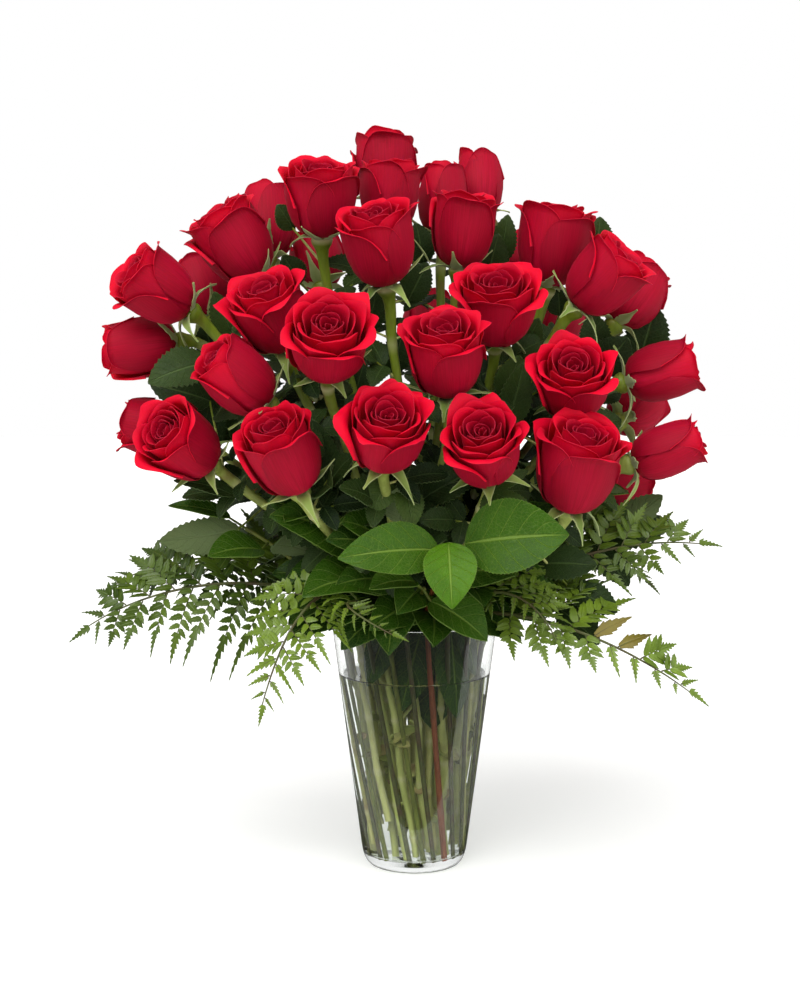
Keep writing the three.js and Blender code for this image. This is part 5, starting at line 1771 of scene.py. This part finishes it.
def aim_at(thing, place, target):
    """Stands a camera or lamp at a place and turns it to the target, in metres."""
    thing.location = place
    thing.rotation_mode = "QUATERNION"
    thing.rotation_quaternion = (Vector(target) - Vector(place)).to_track_quat("-Z", "Y")


def add_sun(name, azimuth, elevation, width, strength):
    """A broad soft light that comes evenly from one way."""
    lamp = bpy.data.lights.new(name, "SUN")
    lamp.angle = math.radians(width)
    lamp.energy = strength
    holder = bpy.data.objects.new(name, lamp)
    bpy.context.scene.collection.objects.link(holder)
    aim_at(holder, tuple(2 * direction(azimuth, elevation)), (0, 0, 0))


def add_camera():
    """The camera at the photograph's viewing angle."""
    camera = bpy.data.cameras.new("camera")
    camera.sensor_width = SENSOR
    camera.lens = SENSOR * LENS_PIXELS / FRAME_HEIGHT
    camera.clip_start = 0.05
    camera.clip_end = 50
    eye = bpy.data.objects.new("camera", camera)
    bpy.context.scene.collection.objects.link(eye)
    aim_at(eye, EYE, EYE_AIM)
    bpy.context.scene.camera = eye


# ---------------------------------------------------------------- operators
def placed(piece, slot, *nodes):
    """Puts a finished piece on the one body and hides the solids that it stands for; its slot is not used."""
    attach(piece, "root")
    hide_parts(*nodes)


class BOUQUET_OT_vase(bpy.types.Operator):
    """Builds the glass vase and the water in it"""

    bl_idname = "bouquet.vase"
    bl_label = "Vase and water"

    def execute(self, context):
        settings = context.scene.bouquet_vase
        vase = build_vase(clear_body("soda_lime_glass", settings.glass_tint, settings.glass_ior))
        placed(vase, "clear_glass", "vase")
        water = build_water(settings, clear_body("still_water", settings.water_tint, settings.water_ior))
        placed(water, "water", "water")
        return {"FINISHED"}


class BOUQUET_OT_roses(bpy.types.Operator):
    """Builds every rose bloom from its petals"""

    bl_idname = "bouquet.roses"
    bl_label = "Rose blooms"

    def execute(self, context):
        settings = context.scene.bouquet_roses
        velvet = petal_velvet(settings)
        for rose in plant()[0]:
            placed(build_bloom(rose, settings, velvet), "rose_petal", "bloom_" + rose.name)
        return {"FINISHED"}


class BOUQUET_OT_stems(bpy.types.Operator):
    """Builds the rose stems in their bunches, with hips, sepals, thorns and leaves"""

    bl_idname = "bouquet.stems"
    bl_label = "Rose stems"

    def execute(self, context):
        settings = context.scene.bouquet_greens
        colours = (settings.rose_leaf_dark, settings.rose_leaf_bright, "#66754c", "#5c7440")
        materials = [
            stem_skin("rose_stem_skin", settings.stem_green_and_painted_light, settings.stem_olive, "#7a4a34"),
            sepal_skin(),
            leaf_skin("rose_leaf_wax", *colours, pairs=8, gloss=0.45, quilt=0.0005),
            thorn_horn(),
            withered_skin(),
        ]
        roses, fronds, sprigs = plant()
        for name in BUNCHES:
            bunch = build_bunch(name, roses, roses + fronds + sprigs, settings, materials)
            placed(bunch, "rose_stem", "stems_" + name)
        return {"FINISHED"}


class BOUQUET_OT_ferns(bpy.types.Operator):
    """Builds the fern fronds, pinnule by pinnule"""

    bl_idname = "bouquet.ferns"
    bl_label = "Fern fronds"

    def execute(self, context):
        settings = context.scene.bouquet_greens
        materials = [rachis_skin(), fern_skin(settings)]
        for frond in plant()[1]:
            placed(build_frond(frond, settings, materials), "fern_leaf", "fern_" + frond.name)
        return {"FINISHED"}


class BOUQUET_OT_salal(bpy.types.Operator):
    """Builds the salal sprigs with their broad leaves"""

    bl_idname = "bouquet.salal"
    bl_label = "Salal sprigs"

    def execute(self, context):
        settings = context.scene.bouquet_greens
        colours = (settings.salal_dark, settings.salal_bright, "#6f8440", "#86a244")
        leaf = leaf_skin("salal_leaf_wax", *colours, pairs=6, gloss=0.36, quilt=0.0006)
        materials = [twig_skin(), leaf]
        roses, _, sprigs = plant()
        for sprig in sprigs:
            placed(build_sprig(sprig, roses, settings, materials), "salal_leaf", "salal_" + sprig.name)
        return {"FINISHED"}


class BOUQUET_OT_stage(bpy.types.Operator):
    """Sets out the floor, the lights and the camera"""

    bl_idname = "bouquet.stage"
    bl_label = "Stage"

    def execute(self, context):
        settings = context.scene.bouquet_stage
        build_floor(settings)
        build_world(settings)
        add_sun("key", *KEY_SUN, settings.key_strength)
        add_sun("fill", *FILL_SUN, settings.fill_strength)
        add_camera()
        context.scene.view_settings.view_transform = "Standard"
        context.scene.view_settings.look = "None"
        return {"FINISHED"}


class BOUQUET_PT_panel(bpy.types.Panel):
    """Lists the bouquet's parts and their settings in the 3D view's sidebar"""

    bl_idname = "BOUQUET_PT_panel"
    bl_label = "Roses in a vase"
    bl_space_type = "VIEW_3D"
    bl_region_type = "UI"
    bl_category = "Bouquet"

    def draw(self, context):
        for group, operators in PANEL_ROWS:
            box = self.layout.box()
            for name in getattr(context.scene, group).__annotations__:
                box.prop(getattr(context.scene, group), name)
            for operator in operators:
                box.operator(operator)


GROUPS = {
    "bouquet_roses": BouquetRoses,
    "bouquet_greens": BouquetGreens,
    "bouquet_vase": BouquetVase,
    "bouquet_stage": BouquetStage,
}
PANEL_ROWS = (
    ("bouquet_vase", ("bouquet.vase",)),
    ("bouquet_roses", ("bouquet.roses",)),
    ("bouquet_greens", ("bouquet.stems", "bouquet.ferns", "bouquet.salal")),
    ("bouquet_stage", ("bouquet.stage",)),
)
CLASSES = (
    *GROUPS.values(),
    BOUQUET_OT_vase,
    BOUQUET_OT_roses,
    BOUQUET_OT_stems,
    BOUQUET_OT_ferns,
    BOUQUET_OT_salal,
    BOUQUET_OT_stage,
    BOUQUET_PT_panel,
)


def register():
    """Registers the classes and gives the scene its settings."""
    for one in CLASSES:
        bpy.utils.register_class(one)
    for name, group in GROUPS.items():
        setattr(bpy.types.Scene, name, bpy.props.PointerProperty(type=group))


def unregister():
    """Takes the settings and the classes away again."""
    for name in GROUPS:
        delattr(bpy.types.Scene, name)
    for one in reversed(CLASSES):
        bpy.utils.unregister_class(one)


def main():
    """Registers the classes and builds the pieces and the stage."""
    register()
    bpy.ops.bouquet.vase()
    bpy.ops.bouquet.roses()
    bpy.ops.bouquet.stems()
    bpy.ops.bouquet.ferns()
    bpy.ops.bouquet.salal()
    bpy.ops.bouquet.stage()
    bpy.context.view_layer.update()


if __name__ == "__main__":
    main()
